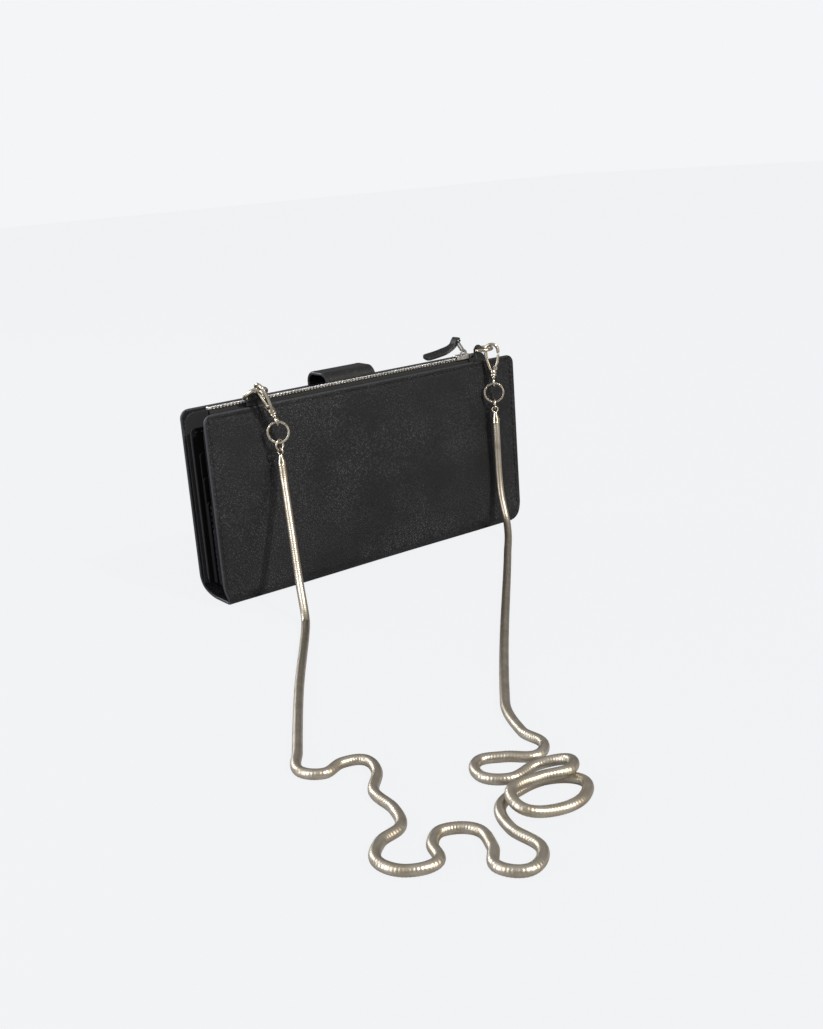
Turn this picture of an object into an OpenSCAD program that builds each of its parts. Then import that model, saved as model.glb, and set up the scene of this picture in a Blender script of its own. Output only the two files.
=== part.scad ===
// Chain wallet: a long bifold wallet standing on its fold, with a zipped coin
// pocket on the near side, a closing tab and a detachable snake-link strap.
// X runs along the width, -Y is the coin-pocket side, Z is up.
// The origin is the middle of the flat under the spine.

/* [Wallet] */
// Width of the wallet along X
wallet_w = 190; // [185:1:195]
// Height of the two covers
cover_h = 95; // [93:1:97]
// Thickness of the closed wallet
wallet_t = 25; // [25:0.5:26]
// Thickness of the cover leather
leather_t = 1.5; // [1.2:0.1:1.6]
// Radius of the covers' top corners
corner_r = 4.6; // [3:0.2:8]
// Outer radius of the fold's two edges
fold_r = 7; // [6:0.5:7.5]
// Height where the covers leave the fold
fold_h = 8; // [8:0.5:9]

/* [Inside] */
// Thickness of the linings
lining_t = 0.6; // [0.4:0.1:0.6]
// Thickness of a card-slot leaf
leaf_t = 0.9; // [0.7:0.1:0.9]
// Step between the tops of two card slots
leaf_step = 12; // [9:1:13]
// Height of the bill wall's top edge
bill_wall_h = 87; // [84:1:90]

/* [Zip] */
// Spacing of the zip teeth
tooth_pitch = 3; // [3:0.5:5]
// Length of the slider
slider_l = 9; // [8:0.5:10]
// Length of the leather puller
puller_l = 24; // [18:1:24]
// Width of the leather puller
puller_w = 5; // [4:0.2:5]

/* [Closing tab] */
// Width of the tab
tab_w = 30; // [24:1:34]
// Height of the tab's arch above the covers
tab_rise = 7; // [7:0.5:9]

/* [Strap and hooks] */
// Diameter of the snake-link strap
strap_d = 4.0; // [3.6:0.1:4.2]
// Wire radius of the D-rings
ring_wire_r = 0.9; // [0.7:0.05:0.9]
// Mean radius of the hooks' loops
hook_r = 3.3; // [3.2:0.1:3.6]
// Wire radius of the hooks
hook_wire_r = 0.9; // [0.7:0.05:0.9]
// Mean radius of the split rings
split_r = 5; // [4.6:0.1:5.2]
// Mean radius of the small jump rings
jump_r = 2.6; // [2.5:0.1:2.8]

/* [Hidden] */
$fn = 48;

half_w = wallet_w / 2;
half_t = wallet_t / 2;

// The layers of the near half, from its outer face inwards (Y values)
near_in = -half_t + leather_t;
near_lining_in = near_in + lining_t;
tape_t = 0.6;
coin_gap = 2.4;
tape_far_y = near_lining_in + tape_t + coin_gap;
pocket_wall_y = tape_far_y + tape_t;
panel_t = 0.8;
near_slots_y = pocket_wall_y + panel_t;

// The layers of the far half, from its outer face inwards
far_in = half_t - leather_t;
far_lining_in = far_in - lining_t;
bill_gap = 6.7;
bill_wall_in = far_lining_in - bill_gap;
far_slots_in = bill_wall_in - panel_t;

// Zip: teeth centre, tooth block and slider shell
zip_y = (near_lining_in + pocket_wall_y) / 2;
teeth_z = cover_h + 1.8;
teeth_h = 1.4;
teeth_w = 2;
teeth_from = -half_w + 7;
teeth_to = 67;
slider_x = 62;
slider_gap = 0.3;
slider_wall = 1;
slider_top = teeth_z + teeth_h + slider_gap + slider_wall;
puller_pivot_x = slider_x + 1.5;
puller_pivot_z = slider_top + 1.2;

// Closing tab
tab_x = -6;
tab_t = 1.8;
tab_gap = 0.3;
tab_out_y = half_t + tab_gap + tab_t;
tab_hinge_z = 84;
tab_tip_y = -4.4;
tab_tip_z = 80;
tab_top_z = cover_h + tab_rise;
tab_bend_r = 5.7;
snap_z = 85;

// D-rings: length of the bar, bow radius and depth from bar to tip
d_bar = 11;
d_bow_r = d_bar / 2;
d_side = 2;
d_depth = d_bow_r + d_side;

// Places of the two D-rings, and how they turn about Z and droop
d_left_pos = [-68, -13.3, cover_h + 4.6];
d_left_turn = 0;
d_left_lift = 37;
d_right_turn = 45;
d_right_pos = [70.5, -12.1, cover_h + 6.3];
d_right_lift = 0;
d_loop_r = 2;

// Hooks: distances along the hook's long axis, from the centre of its loop
hang_gap = 0.35;
wire_seat = hook_r - hook_wire_r - ring_wire_r - hang_gap;
leg_straight = 3;
leg_end = 10.5;
leg_gap = 1.2;
barrel_r = 1.9;
barrel_top = 10;
barrel_l = 3.6;
eye_r = 2.1;
eye_wire_r = 0.6;
eye_drop = 17;
stem_r = 0.8;
stem_bore_r = 0.88;
gate_r = 0.7;
gate_pin_r = 0.35;
gate_bore_r = 0.42;

// The hooks' places, tilts and turns
left_tilt = 24;
ring_turn = -36;

// Rings and caps below each eye
ring_wire = 1;
ring_w = 1.6;
jump_wire_r = 0.5;
cap_r = 2.3;
cap_loop_r = 1.5;
cap_wire_r = 0.45;

// The strap's route from the left cap to the right cap
strap_r = strap_d / 2;
ring_step = 14;
tube_sides = 8;
STRAP_ROUTE = [
    [-60.4, -19.4, 66], [-61.6, -22.2, 56], [-73.8, -47.2, 18.5], [-81, -61.5, 2],
    [-122, -121, 2], [-153, -169, 2], [-160, -181, 2], [-155, -189, 2], [-146, -187, 2],
    [-139, -191, 2], [-141, -201, 2], [-150, -212, 2], [-152, -226, 2], [-157, -236, 2],
    [-167, -239, 2], [-174, -247, 2], [-171, -257, 2], [-161, -260, 2], [-156, -251, 2],
    [-149, -247, 2], [-141, -254, 2], [-144, -265, 2], [-150, -274, 2], [-144, -282, 2],
    [-134, -276, 2], [-133, -261, 2], [-127, -249, 2], [-116, -245, 2], [-103, -246, 2],
    [-96, -255, 2], [-104, -263, 2], [-116, -263, 2.4], [-125, -258, 4.4], [-122, -249, 6.2],
    [-110, -249, 6.2], [-99, -252, 6.2], [-93, -245, 5], [-100, -237, 2.6], [-112, -237, 2],
    [-118, -229, 2], [-112, -220, 2], [-103, -224, 2], [-95, -231, 2], [-87, -226, 2],
    [-86, -214, 2], [-74, -191, 2], [48, -54, 2], [71, -28, 6], [75.8, -18, 24],
    [75.8, -17.4, 61]
];

// Interpolates the strap's route: each point's tangent lies along the chord of
// its neighbours and is as strong as the stretch it serves is long
function unit(v) = v / norm(v);
function route_last() = len(STRAP_ROUTE) - 1;
function route_dir(i) =
    unit(STRAP_ROUTE[min(i + 1, route_last())] - STRAP_ROUTE[max(i - 1, 0)]);
function raised(p) = [p.x, p.y, max(p.z, strap_r)];
function route_at(i, t) =
    let (a = STRAP_ROUTE[i], b = STRAP_ROUTE[i + 1], span = norm(b - a))
    raised(a * (2 * t ^ 3 - 3 * t ^ 2 + 1) + b * (3 * t ^ 2 - 2 * t ^ 3)
        + route_dir(i) * span * (t ^ 3 - 2 * t ^ 2 + t)
        + route_dir(i + 1) * span * (t ^ 3 - t ^ 2));
function stretch_steps(i) =
    max(1, round(norm(STRAP_ROUTE[i + 1] - STRAP_ROUTE[i]) / ring_step));
strap_points = [
    for (i = [0:route_last() - 1])
        let (steps = stretch_steps(i))
        for (k = [0:steps - 1]) route_at(i, k / steps),
    STRAP_ROUTE[route_last()]
];

// A ring of the tube round point i, square to the path there. The two end rings
// are level, because the strap leaves its end caps straight down
function path_dir(i) =
    i == 0 ? [0, 0, -1]
    : i == len(strap_points) - 1 ? [0, 0, 1]
    : unit(strap_points[i + 1] - strap_points[i - 1]);
// Side directions are carried along from ring to ring so that the tube doesn't twist
function carried(side, dir) = unit(side - dir * (side * dir));
function side_dirs(i, side) =
    i == len(strap_points) ? []
    : let (here = carried(side, path_dir(i))) concat([here], side_dirs(i + 1, here));
strap_sides = side_dirs(0, [1, 0, 0]);
function tube_ring(i) =
    let (u = strap_sides[i], v = cross(path_dir(i), u))
    [for (k = [0:tube_sides - 1])
        let (a = 360 * k / tube_sides)
        let (p = strap_points[i] + strap_r * (cos(a) * u + sin(a) * v))
        [p.x, p.y, max(p.z, 0)]];

// A cover outline in X and Z with its top corners rounded
module cover_outline(inset, bottom, top, radius) {
    w = half_w - inset;
    difference() {
        translate([-w, bottom]) square([2 * w, top - bottom]);
        for (side = [-1, 1])
            translate([side * (w - radius), top - radius])
                difference() {
                    translate([side > 0 ? 0 : -radius - 1, 0]) square([radius + 1, radius + 1]);
                    circle(r = radius);
                }
    }
}

// A flat sheet of leather between two Y values, cut to a cover outline
module sheet(y_from, y_to, inset, bottom, top, radius) {
    translate([0, y_to, 0])
        rotate([90, 0, 0])
            linear_extrude(y_to - y_from) cover_outline(inset, bottom, top, radius);
}

// A profile in Y and Z carried along X
module along_x(from, to) {
    translate([from, 0, 0])
        rotate([90, 0, 90])
            linear_extrude(to - from) children();
}

// A round ring of round wire in the X and Z plane
module wire_ring(mean_r, wire_r) {
    rotate([90, 0, 0]) rotate_extrude() translate([mean_r, 0]) circle(r = wire_r, $fn = 24);
}

// An arc of round wire in the X and Z plane, from one angle to another
module wire_arc(mean_r, wire_r, from, sweep) {
    rotate([90, 0, 0])
        rotate([0, 0, from])
            rotate_extrude(angle = sweep) translate([mean_r, 0]) circle(r = wire_r, $fn = 24);
}

// A straight round wire between two points
module wire(a, b, r) {
    d = b - a;
    translate(a)
        rotate([0, acos(d.z / norm(d)), atan2(d.y, d.x)])
            cylinder(r = r, h = norm(d), $fn = 24);
}

// Covers, spine and linings

module near_cover() {
    color("#232325") sheet(-half_t, near_in, 0, fold_h, cover_h, corner_r);
}

module far_cover() {
    color("#232325") sheet(far_in, half_t, 0, fold_h, cover_h, corner_r);
}

module near_lining() {
    color("#171718") sheet(near_in, near_lining_in, 1.5, fold_h, cover_h - 2, corner_r);
}

module far_lining() {
    color("#171718") sheet(far_lining_in, far_in, 1.5, fold_h, cover_h - 2, corner_r);
}

module fold_profile(half, radius) {
    translate([-half + radius, radius]) circle(r = radius);
    translate([half - radius, radius]) circle(r = radius);
    translate([-half + radius, 0]) square([2 * (half - radius), fold_h]);
    translate([-half, radius]) square([2 * half, fold_h]);
}

module spine() {
    color("#232325")
        along_x(-half_w, half_w)
            intersection() {
                difference() {
                    fold_profile(half_t, fold_r);
                    translate([0, leather_t]) fold_profile(half_t - leather_t, fold_r - leather_t);
                }
                translate([-half_t, 0]) square([wallet_t, fold_h]);
            }
}

// Coin pocket and its zip

module pocket_wall() {
    color("#1b1b1c") sheet(pocket_wall_y, near_slots_y, 2, 10, cover_h - 4, corner_r);
}

module pocket_rim() {
    rim = 2;
    color("#141415")
        translate([0, tape_far_y + tape_t, 0])
            rotate([90, 0, 0])
                linear_extrude(pocket_wall_y - near_lining_in)
                    difference() {
                        translate([2 - half_w, 10]) square([wallet_w - 4, 74]);
                        translate([2 + rim - half_w, 10 + rim]) square([wallet_w - 4 - 2 * rim, 74]);
                    }
}

module tape_profile() {
    polygon([
        [near_lining_in, 86], [near_lining_in + tape_t, 86],
        [near_lining_in + tape_t, cover_h - 0.4], [zip_y - 0.3, teeth_z - 0.6],
        [zip_y - 0.3, teeth_z], [zip_y - 0.9, teeth_z], [near_lining_in, cover_h]
    ]);
}

module zip_tape_near() {
    color("#131314") along_x(-half_w + 5, teeth_to - 0.5) tape_profile();
}

module zip_tape_far() {
    color("#131314")
        along_x(-half_w + 5, teeth_to - 0.5)
            translate([2 * zip_y, 0]) mirror([1, 0]) tape_profile();
}

module zip_teeth() {
    color("#b9b6ae") {
        translate([teeth_from, zip_y - 0.6, teeth_z]) cube([teeth_to - teeth_from, 1.2, teeth_h - 0.3]);
        for (x = [teeth_from:tooth_pitch:teeth_to - 3])
            translate([x, zip_y - teeth_w / 2, teeth_z]) cube([tooth_pitch / 2, teeth_w, teeth_h]);
    }
}

module zip_stops() {
    color("#b9b6ae")
        for (x = [teeth_from - 2.6, teeth_to + 0.2])
            translate([x, zip_y - 1.2, teeth_z]) cube([2.2, 2.4, teeth_h]);
}

module zip_slider() {
    inner = teeth_w / 2 + slider_gap;
    x_from = slider_x - slider_l / 2;
    color("#c4c1b8") {
        translate([x_from, zip_y - inner - slider_wall, slider_top - slider_wall])
            cube([slider_l, 2 * (inner + slider_wall), slider_wall]);
        for (side = [-1, 1])
            translate([x_from, zip_y + side * (inner + slider_wall / 2) - slider_wall / 2, teeth_z + 0.2])
                cube([slider_l, slider_wall, slider_top - slider_wall - teeth_z]);
        // Bridge with the hole that the puller's link turns in
        difference() {
            translate([puller_pivot_x - 2, zip_y - 0.7, slider_top - 0.1]) cube([4, 1.4, 2.6]);
            translate([puller_pivot_x, zip_y, puller_pivot_z])
                rotate([90, 0, 0]) cylinder(r = 0.6, h = 3, center = true);
        }
    }
}

// The link: a wire frame whose lower bar turns in the bridge's hole, and whose
// upper bar holds the leather puller
link_half = 1.3;
link_dx = -4.5;
link_dz = 7;

module puller_link() {
    low = [puller_pivot_x, zip_y, puller_pivot_z];
    high = low + [link_dx, 0, link_dz];
    color("#c4c1b8") {
        for (end = [low, high])
            wire(end - [0, link_half, 0], end + [0, link_half, 0], 0.55);
        for (side = [-1, 1]) {
            wire(low + [0, side * link_half, 0], high + [0, side * link_half, 0], 0.55);
            for (end = [low, high])
                translate(end + [0, side * link_half, 0]) sphere(r = 0.55, $fn = 24);
        }
    }
}

module puller() {
    high = [puller_pivot_x + link_dx, zip_y, puller_pivot_z + link_dz];
    thick = 1.8;
    slope = 15;
    color("#1d1d1e")
        translate(high)
            rotate([0, -slope, 0])
                difference() {
                    union() {
                        rotate([90, 0, 0]) cylinder(r = thick / 2 + 0.5, h = puller_w, center = true);
                        translate([-puller_l + puller_w / 2, -puller_w / 2, -thick / 2])
                            cube([puller_l - puller_w / 2, puller_w, thick]);
                        translate([-puller_l + puller_w / 2, 0, -thick / 2])
                            cylinder(r = puller_w / 2, h = thick);
                    }
                    // Slot that the link's bars and sides pass through
                    rotate([90, 0, 0]) cylinder(r = 0.65, h = 2 * link_half + 1.3, center = true);
                    translate([-0.5, -link_half - 0.65, -2.2]) cube([3.5, 2 * link_half + 1.3, 4.4]);
                }
}

// Card slots, bill compartment

module near_slot(i) {
    top = bill_wall_h - i * leaf_step;
    y_from = near_slots_y + (i - 1) * leaf_t;
    color("#1b1b1c") sheet(y_from, y_from + leaf_t, 3, 10, top, 2);
}

module near_slot_1() { near_slot(1); }
module near_slot_2() { near_slot(2); }
module near_slot_3() { near_slot(3); }
module near_slot_4() { near_slot(4); }

module bill_wall() {
    color("#1f1f20") sheet(far_slots_in, bill_wall_in, 0.5, 10, bill_wall_h, 2);
}

module bill_gussets() {
    color("#141415")
        for (side = [-1, 1])
            translate([side * (half_w - 3.4) - 0.4, bill_wall_in, 10]) cube([0.8, bill_gap, 74]);
}

module far_slot(i) {
    top = bill_wall_h - i * leaf_step;
    y_to = far_slots_in - (i - 1) * leaf_t;
    color("#1b1b1c") sheet(y_to - leaf_t, y_to, 3, 10, top, 2);
}

module far_slot_1() { far_slot(1); }
module far_slot_2() { far_slot(2); }
module far_slot_3() { far_slot(3); }

// Closing tab: sewn to the far cover, arching over the top and snapped to the
// pocket wall behind the zip

module tab_anchor() {
    color("#1d1d1e")
        translate([tab_x - tab_w / 2, half_t, 44]) cube([tab_w, tab_t, tab_hinge_z - 1.2 - 44]);
}

// The tab's side view: a strip that bends twice over the wallet's top
module tab_profile() {
    inner_r = tab_bend_r - tab_t;
    difference() {
        union() {
            for (y = [tab_tip_y + tab_bend_r, tab_out_y - tab_bend_r])
                translate([y, tab_top_z - tab_bend_r]) circle(r = tab_bend_r);
            translate([tab_tip_y, tab_tip_z])
                square([tab_out_y - tab_tip_y, tab_top_z - tab_bend_r - tab_tip_z]);
            translate([tab_tip_y + tab_bend_r, tab_top_z - tab_bend_r])
                square([tab_out_y - tab_tip_y - 2 * tab_bend_r, tab_bend_r]);
        }
        for (y = [tab_tip_y + tab_bend_r, tab_out_y - tab_bend_r])
            translate([y, tab_top_z - tab_bend_r]) circle(r = inner_r);
        translate([tab_tip_y + tab_t, tab_tip_z - 1])
            square([tab_out_y - tab_tip_y - 2 * tab_t, tab_top_z - tab_bend_r - tab_tip_z + 1]);
        translate([tab_tip_y + tab_bend_r, tab_top_z - tab_bend_r - 1])
            square([tab_out_y - tab_tip_y - 2 * tab_bend_r, inner_r + 1]);
        translate([tab_out_y - tab_t - 1, tab_tip_z - 1])
            square([tab_t + 2, tab_hinge_z - tab_tip_z + 1]);
    }
}

module snap_tab() {
    color("#1d1d1e") along_x(tab_x - tab_w / 2, tab_x + tab_w / 2) tab_profile();
}

// A round snap part whose flat back lies at y and which points along +Y or -Y
module snap_disc(y, toward, r, h) {
    translate([tab_x, y, snap_z]) rotate([-90 * toward, 0, 0]) cylinder(r = r, h = h);
}

module snap_cap() {
    color("#8f8b80") snap_disc(tab_tip_y + tab_t, 1, 5, 1);
}

module snap_socket() {
    color("#b9b6ae")
        difference() {
            snap_disc(tab_tip_y, -1, 4, 0.7);
            snap_disc(tab_tip_y - 0.2, -1, 1.9, 0.7);
        }
}

module snap_stud() {
    color("#b9b6ae") snap_disc(near_slots_y, 1, 4, 0.3);
}

// D-rings and the leather loops that hold them. Local frame: the bar lies along
// X through the origin and the bow reaches along -Y

module at_d_left() {
    translate(d_left_pos) rotate([-d_left_lift, 0, d_left_turn]) children();
}

module at_d_right() {
    translate(d_right_pos) rotate([-d_right_lift, 0, d_right_turn]) children();
}

module d_ring() {
    color("#c9c4b6") {
        wire([-d_bar / 2, 0, 0], [d_bar / 2, 0, 0], ring_wire_r);
        for (side = [-1, 1]) {
            translate([side * d_bar / 2, 0, 0]) sphere(r = ring_wire_r, $fn = 24);
            wire([side * d_bar / 2, 0, 0], [side * d_bar / 2, -d_side, 0], ring_wire_r);
        }
        translate([0, -d_side, 0])
            rotate([0, 0, 180])
                rotate_extrude(angle = 180) translate([d_bow_r, 0]) circle(r = ring_wire_r, $fn = 24);
    }
}

module d_ring_left() { at_d_left() d_ring(); }
module d_ring_right() { at_d_right() d_ring(); }

module d_loop(foot) {
    color("#1d1d1e")
        difference() {
            union() {
                rotate([90, 0, 90]) cylinder(r = d_loop_r, h = 7, center = true);
                translate([-3.5, 0.6, -foot]) cube([7, 1.3, foot]);
            }
            rotate([90, 0, 90]) cylinder(r = ring_wire_r + 0.06, h = 9, center = true);
        }
}

module d_loop_left() {
    translate(d_left_pos) d_loop(d_left_pos.z - cover_h - 0.02);
}

module d_loop_right() {
    translate(d_right_pos) rotate([0, 0, d_right_turn]) d_loop(d_right_pos.z - cover_h - 0.02);
}

// Trigger hooks. Local frame: the loop's centre at the origin, the hook's plane
// is X and Z, and its long axis runs down -Z

// Where each hook's loop centre is, hanging from the tip of its D-ring
tip_left = d_left_pos + d_depth * [0, -cos(d_left_lift), sin(d_left_lift)];
tip_right = d_right_pos + d_depth * [sin(d_right_turn), -cos(d_right_turn), 0];
axis_left = [sin(left_tilt), 0, -cos(left_tilt)];
axis_right = [0, 0, -1];

module at_hook_left() {
    translate(tip_left + wire_seat * axis_left) rotate([0, -left_tilt, 0]) rotate([0, 0, 90]) children();
}

module at_hook_right() {
    translate(tip_right + wire_seat * axis_right) rotate([0, 0, d_right_turn - 90]) children();
}

gate_pivot = [leg_gap + 0.3, 0, -leg_end + 1.5];

module hook() {
    color("#c9c4b6") {
        wire_arc(hook_r, hook_wire_r, 0, 180);
        translate([hook_r, 0, 0]) sphere(r = hook_wire_r, $fn = 24);
        wire([-hook_r, 0, 0], [-hook_r, 0, -leg_straight], hook_wire_r);
        translate([-hook_r, 0, -leg_straight]) sphere(r = hook_wire_r + 0.02, $fn = 24);
        wire([-hook_r, 0, -leg_straight], [-leg_gap, 0, -leg_end], hook_wire_r);
        difference() {
            union() {
                translate([0, 0, -barrel_top - barrel_l]) cylinder(r = barrel_r, h = barrel_l);
                // Two ears that hold the gate's pin
                for (side = [-1, 1])
                    translate([gate_pivot.x - 0.9, side * 1.3 - 0.35, -barrel_top - 0.5])
                        cube([1.8, 0.7, gate_pivot.z + barrel_top + 1.3]);
            }
            translate([0, 0, -barrel_top - barrel_l - 1]) cylinder(r = stem_bore_r, h = 3.4);
            translate(gate_pivot)
                rotate([90, 0, 0]) cylinder(r = gate_pin_r, h = 6, center = true, $fn = 24);
        }
    }
}

module hook_left() { at_hook_left() hook(); }
module hook_right() { at_hook_right() hook(); }

module gate_pin() {
    color("#8f8b80")
        translate(gate_pivot)
            rotate([90, 0, 0]) cylinder(r = gate_pin_r, h = 3.3, center = true, $fn = 24);
}

module gate_pin_left() { at_hook_left() gate_pin(); }
module gate_pin_right() { at_hook_right() gate_pin(); }

gate_top = [hook_r, 0, -hook_wire_r - 0.8 - gate_r];

module gate() {
    color("#c9c4b6")
        difference() {
            union() {
                wire(gate_pivot, gate_top, gate_r);
                translate(gate_top) sphere(r = gate_r, $fn = 24);
                translate(gate_pivot)
                    rotate([90, 0, 0]) cylinder(r = 0.85, h = 1.6, center = true, $fn = 24);
            }
            translate(gate_pivot)
                rotate([90, 0, 0]) cylinder(r = gate_bore_r, h = 6, center = true, $fn = 24);
        }
}

module gate_left() { at_hook_left() gate(); }
module gate_right() { at_hook_right() gate(); }

// The spring that shuts the gate lies on the barrel's top beside the gate's heel
module gate_spring() {
    color("#8f8b80")
        translate([0.05, 0, -barrel_top]) cylinder(r = 0.25, h = 1.2, $fn = 24);
}

module gate_spring_left() { at_hook_left() gate_spring(); }
module gate_spring_right() { at_hook_right() gate_spring(); }

// Swivel eye: its stem turns in the barrel's bore
module swivel(turn) {
    color("#c9c4b6") {
        translate([0, 0, -eye_drop]) rotate([0, 0, turn]) wire_ring(eye_r, eye_wire_r);
        translate([0, 0, -eye_drop + eye_r]) cylinder(r = stem_r, h = eye_drop - eye_r - barrel_top - 1.4);
    }
}

left_eye_turn = -34;
right_eye_turn = 90 + ring_turn + 45;

module swivel_left() { at_hook_left() swivel(left_eye_turn); }
module swivel_right() { at_hook_right() swivel(right_eye_turn); }

// A split ring hangs from the lowest point inside each eye. The left eye leans
// with its hook, so that point is a little to one side of its centre
eye_seat = eye_r - eye_wire_r - ring_wire / 2 - hang_gap;
eye_left = tip_left + (wire_seat + eye_drop) * axis_left;
eye_right = tip_right + (wire_seat + eye_drop) * axis_right;
left_face = [
    -cos(left_eye_turn) * cos(left_tilt), -sin(left_eye_turn), -cos(left_eye_turn) * sin(left_tilt)
];
left_low = unit([0, 0, -1] + left_face.z * left_face);
split_left = eye_left + eye_seat * left_low - [0, 0, split_r];
split_right = eye_right - [0, 0, eye_seat + split_r];
// Below it hang the jump ring and the strap's end cap
jump_drop = split_r + (jump_r - jump_wire_r - ring_wire / 2 - hang_gap);
cap_loop_drop = jump_drop + jump_r + (cap_loop_r - cap_wire_r - jump_wire_r - 0.1);
// Each cap reaches down to its end of the strap
left_cap_l = split_left.z - cap_loop_drop - cap_loop_r - STRAP_ROUTE[0].z;
right_cap_l = split_right.z - cap_loop_drop - cap_loop_r - STRAP_ROUTE[route_last()].z;

module split_ring() {
    color("#c9c4b6")
        rotate([90, 0, 0])
            rotate_extrude()
                for (turn = [-1, 1])
                    translate([split_r - ring_wire / 2, turn * ring_w / 4 - ring_w / 4 + 0.02])
                        square([ring_wire, ring_w / 2 - 0.04]);
}

module split_ring_left() {
    translate(split_left) rotate([0, 0, ring_turn]) split_ring();
}

module split_ring_right() {
    translate(split_right) rotate([0, 0, ring_turn]) split_ring();
}

left_jump_turn = 20;
right_jump_turn = 54;

module jump_ring() {
    color("#c9c4b6") wire_ring(jump_r, jump_wire_r);
}

module jump_ring_left() {
    translate(split_left - [0, 0, jump_drop]) rotate([0, 0, left_jump_turn]) jump_ring();
}

module jump_ring_right() {
    translate(split_right - [0, 0, jump_drop]) rotate([0, 0, right_jump_turn]) jump_ring();
}

// End cap: a wire loop on a tapered cap that is crimped round the strap's end
module end_cap(turn, l) {
    color("#c9c4b6") {
        rotate([0, 0, turn]) wire_ring(cap_loop_r, cap_wire_r);
        translate([0, 0, -cap_loop_r - l]) cylinder(r1 = cap_r, r2 = 1, h = l);
    }
}

module end_cap_left() {
    translate(split_left - [0, 0, cap_loop_drop]) end_cap(left_jump_turn + 90, left_cap_l);
}

module end_cap_right() {
    translate(split_right - [0, 0, cap_loop_drop]) end_cap(right_jump_turn + 90, right_cap_l);
}

module snake_strap() {
    rings = len(strap_points);
    color("#a39b8b")
        polyhedron(
            points = [for (i = [0:rings - 1]) each tube_ring(i)],
            faces = concat(
                [[for (k = [tube_sides - 1:-1:0]) k]],
                [for (i = [0:rings - 2], k = [0:tube_sides - 1])
                    let (a = i * tube_sides, n = (k + 1) % tube_sides)
                    [a + k, a + n, a + tube_sides + n, a + tube_sides + k]],
                [[for (k = [0:tube_sides - 1]) (rings - 1) * tube_sides + k]]
            )
        );
}

near_cover();
spine();
near_lining();
zip_tape_near();
zip_tape_far();
zip_teeth();
zip_stops();
pocket_wall();
pocket_rim();
near_slot_1();
near_slot_2();
near_slot_3();
near_slot_4();
d_loop_left();
d_loop_right();
hook_left();
hook_right();
gate_pin_left();
gate_pin_right();
gate_spring_left();
gate_spring_right();
end_cap_left();
end_cap_right();
snap_stud();
snake_strap();
far_cover();
far_lining();
bill_wall();
bill_gussets();
far_slot_1();
far_slot_2();
far_slot_3();
tab_anchor();
snap_tab();
snap_cap();
snap_socket();
zip_slider();
puller_link();
puller();
d_ring_left();
d_ring_right();
gate_left();
gate_right();
swivel_left();
swivel_right();
split_ring_left();
split_ring_right();
jump_ring_left();
jump_ring_right();
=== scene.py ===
# Looks of a long black leather chain wallet that stands on its fold, with a zipped
# coin pocket, a closing tab and a clip-on snake-link strap. Lengths are worked out
# in millimetres in the row frame and turned into metres when a mesh is made.
import math

import bpy
import numpy as np
from mathutils import Matrix


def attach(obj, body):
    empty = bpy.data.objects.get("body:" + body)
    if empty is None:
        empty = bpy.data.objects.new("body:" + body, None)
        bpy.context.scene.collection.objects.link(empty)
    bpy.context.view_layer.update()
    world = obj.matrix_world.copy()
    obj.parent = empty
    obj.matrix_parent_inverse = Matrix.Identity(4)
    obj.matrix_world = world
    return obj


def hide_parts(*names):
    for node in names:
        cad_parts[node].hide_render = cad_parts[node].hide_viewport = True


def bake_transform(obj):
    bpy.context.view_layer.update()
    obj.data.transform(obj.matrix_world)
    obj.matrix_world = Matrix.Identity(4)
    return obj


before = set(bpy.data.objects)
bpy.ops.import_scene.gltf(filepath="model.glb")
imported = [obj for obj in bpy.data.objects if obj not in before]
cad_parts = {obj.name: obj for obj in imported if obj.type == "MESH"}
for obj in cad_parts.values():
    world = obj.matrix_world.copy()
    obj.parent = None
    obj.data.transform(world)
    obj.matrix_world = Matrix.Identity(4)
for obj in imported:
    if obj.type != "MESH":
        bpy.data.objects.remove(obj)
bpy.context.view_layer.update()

# ---------------------------------------------------------------- mesh helpers


def v3(*values):
    """Numbers as one vector."""
    return np.array(values, float)


def unit(v):
    """Vectors scaled to length one, row by row."""
    v = np.asarray(v, float)
    return v / np.maximum(np.linalg.norm(v, axis=-1, keepdims=True), 1e-12)


def turn(axis, degrees):
    """The 3x3 matrix that turns by degrees about X, Y or Z."""
    return np.array(Matrix.Rotation(math.radians(degrees), 3, axis))


def grid_faces(rows, cols, wrap_rows=False):
    """Quads of a grid whose columns close on themselves, and whose rows may."""
    r = np.arange(rows if wrap_rows else rows - 1)[:, None]
    c = np.arange(cols)[None, :]
    r2, c2 = (r + 1) % rows, (c + 1) % cols
    quads = np.stack([r * cols + c, r * cols + c2, r2 * cols + c2, r2 * cols + c], -1)
    return quads.reshape(-1, 4).tolist()


def outward(verts, faces):
    """The faces, turned over if they enclose a negative volume."""
    fan = np.array([(f[0], f[i], f[i + 1]) for f in faces for i in range(1, len(f) - 1)])
    a, b, c = (verts[fan[:, k]] for k in range(3))
    return [f[::-1] for f in faces] if np.einsum("ij,ij->", a, np.cross(b, c)) < 0 else faces


class Shape:
    """Closed shells gathered into one mesh, with a rim value on each vertex."""

    def __init__(self):
        self.verts, self.faces, self.rims, self.count = [], [], [], 0

    def add(self, part, rim=0.0):
        verts, faces = part[0], part[1]
        rims = part[2] if len(part) > 2 else np.full(len(verts), rim)
        self.faces += [[i + self.count for i in f] for f in outward(verts, faces)]
        self.verts.append(verts)
        self.rims.append(rims)
        self.count += len(verts)
        return self


def moved(part, matrix=None, offset=(0, 0, 0)):
    """A part turned by a 3x3 matrix and then shifted."""
    verts = part[0] if matrix is None else part[0] @ np.asarray(matrix).T
    return (verts + np.asarray(offset, float), *part[1:])


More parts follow.
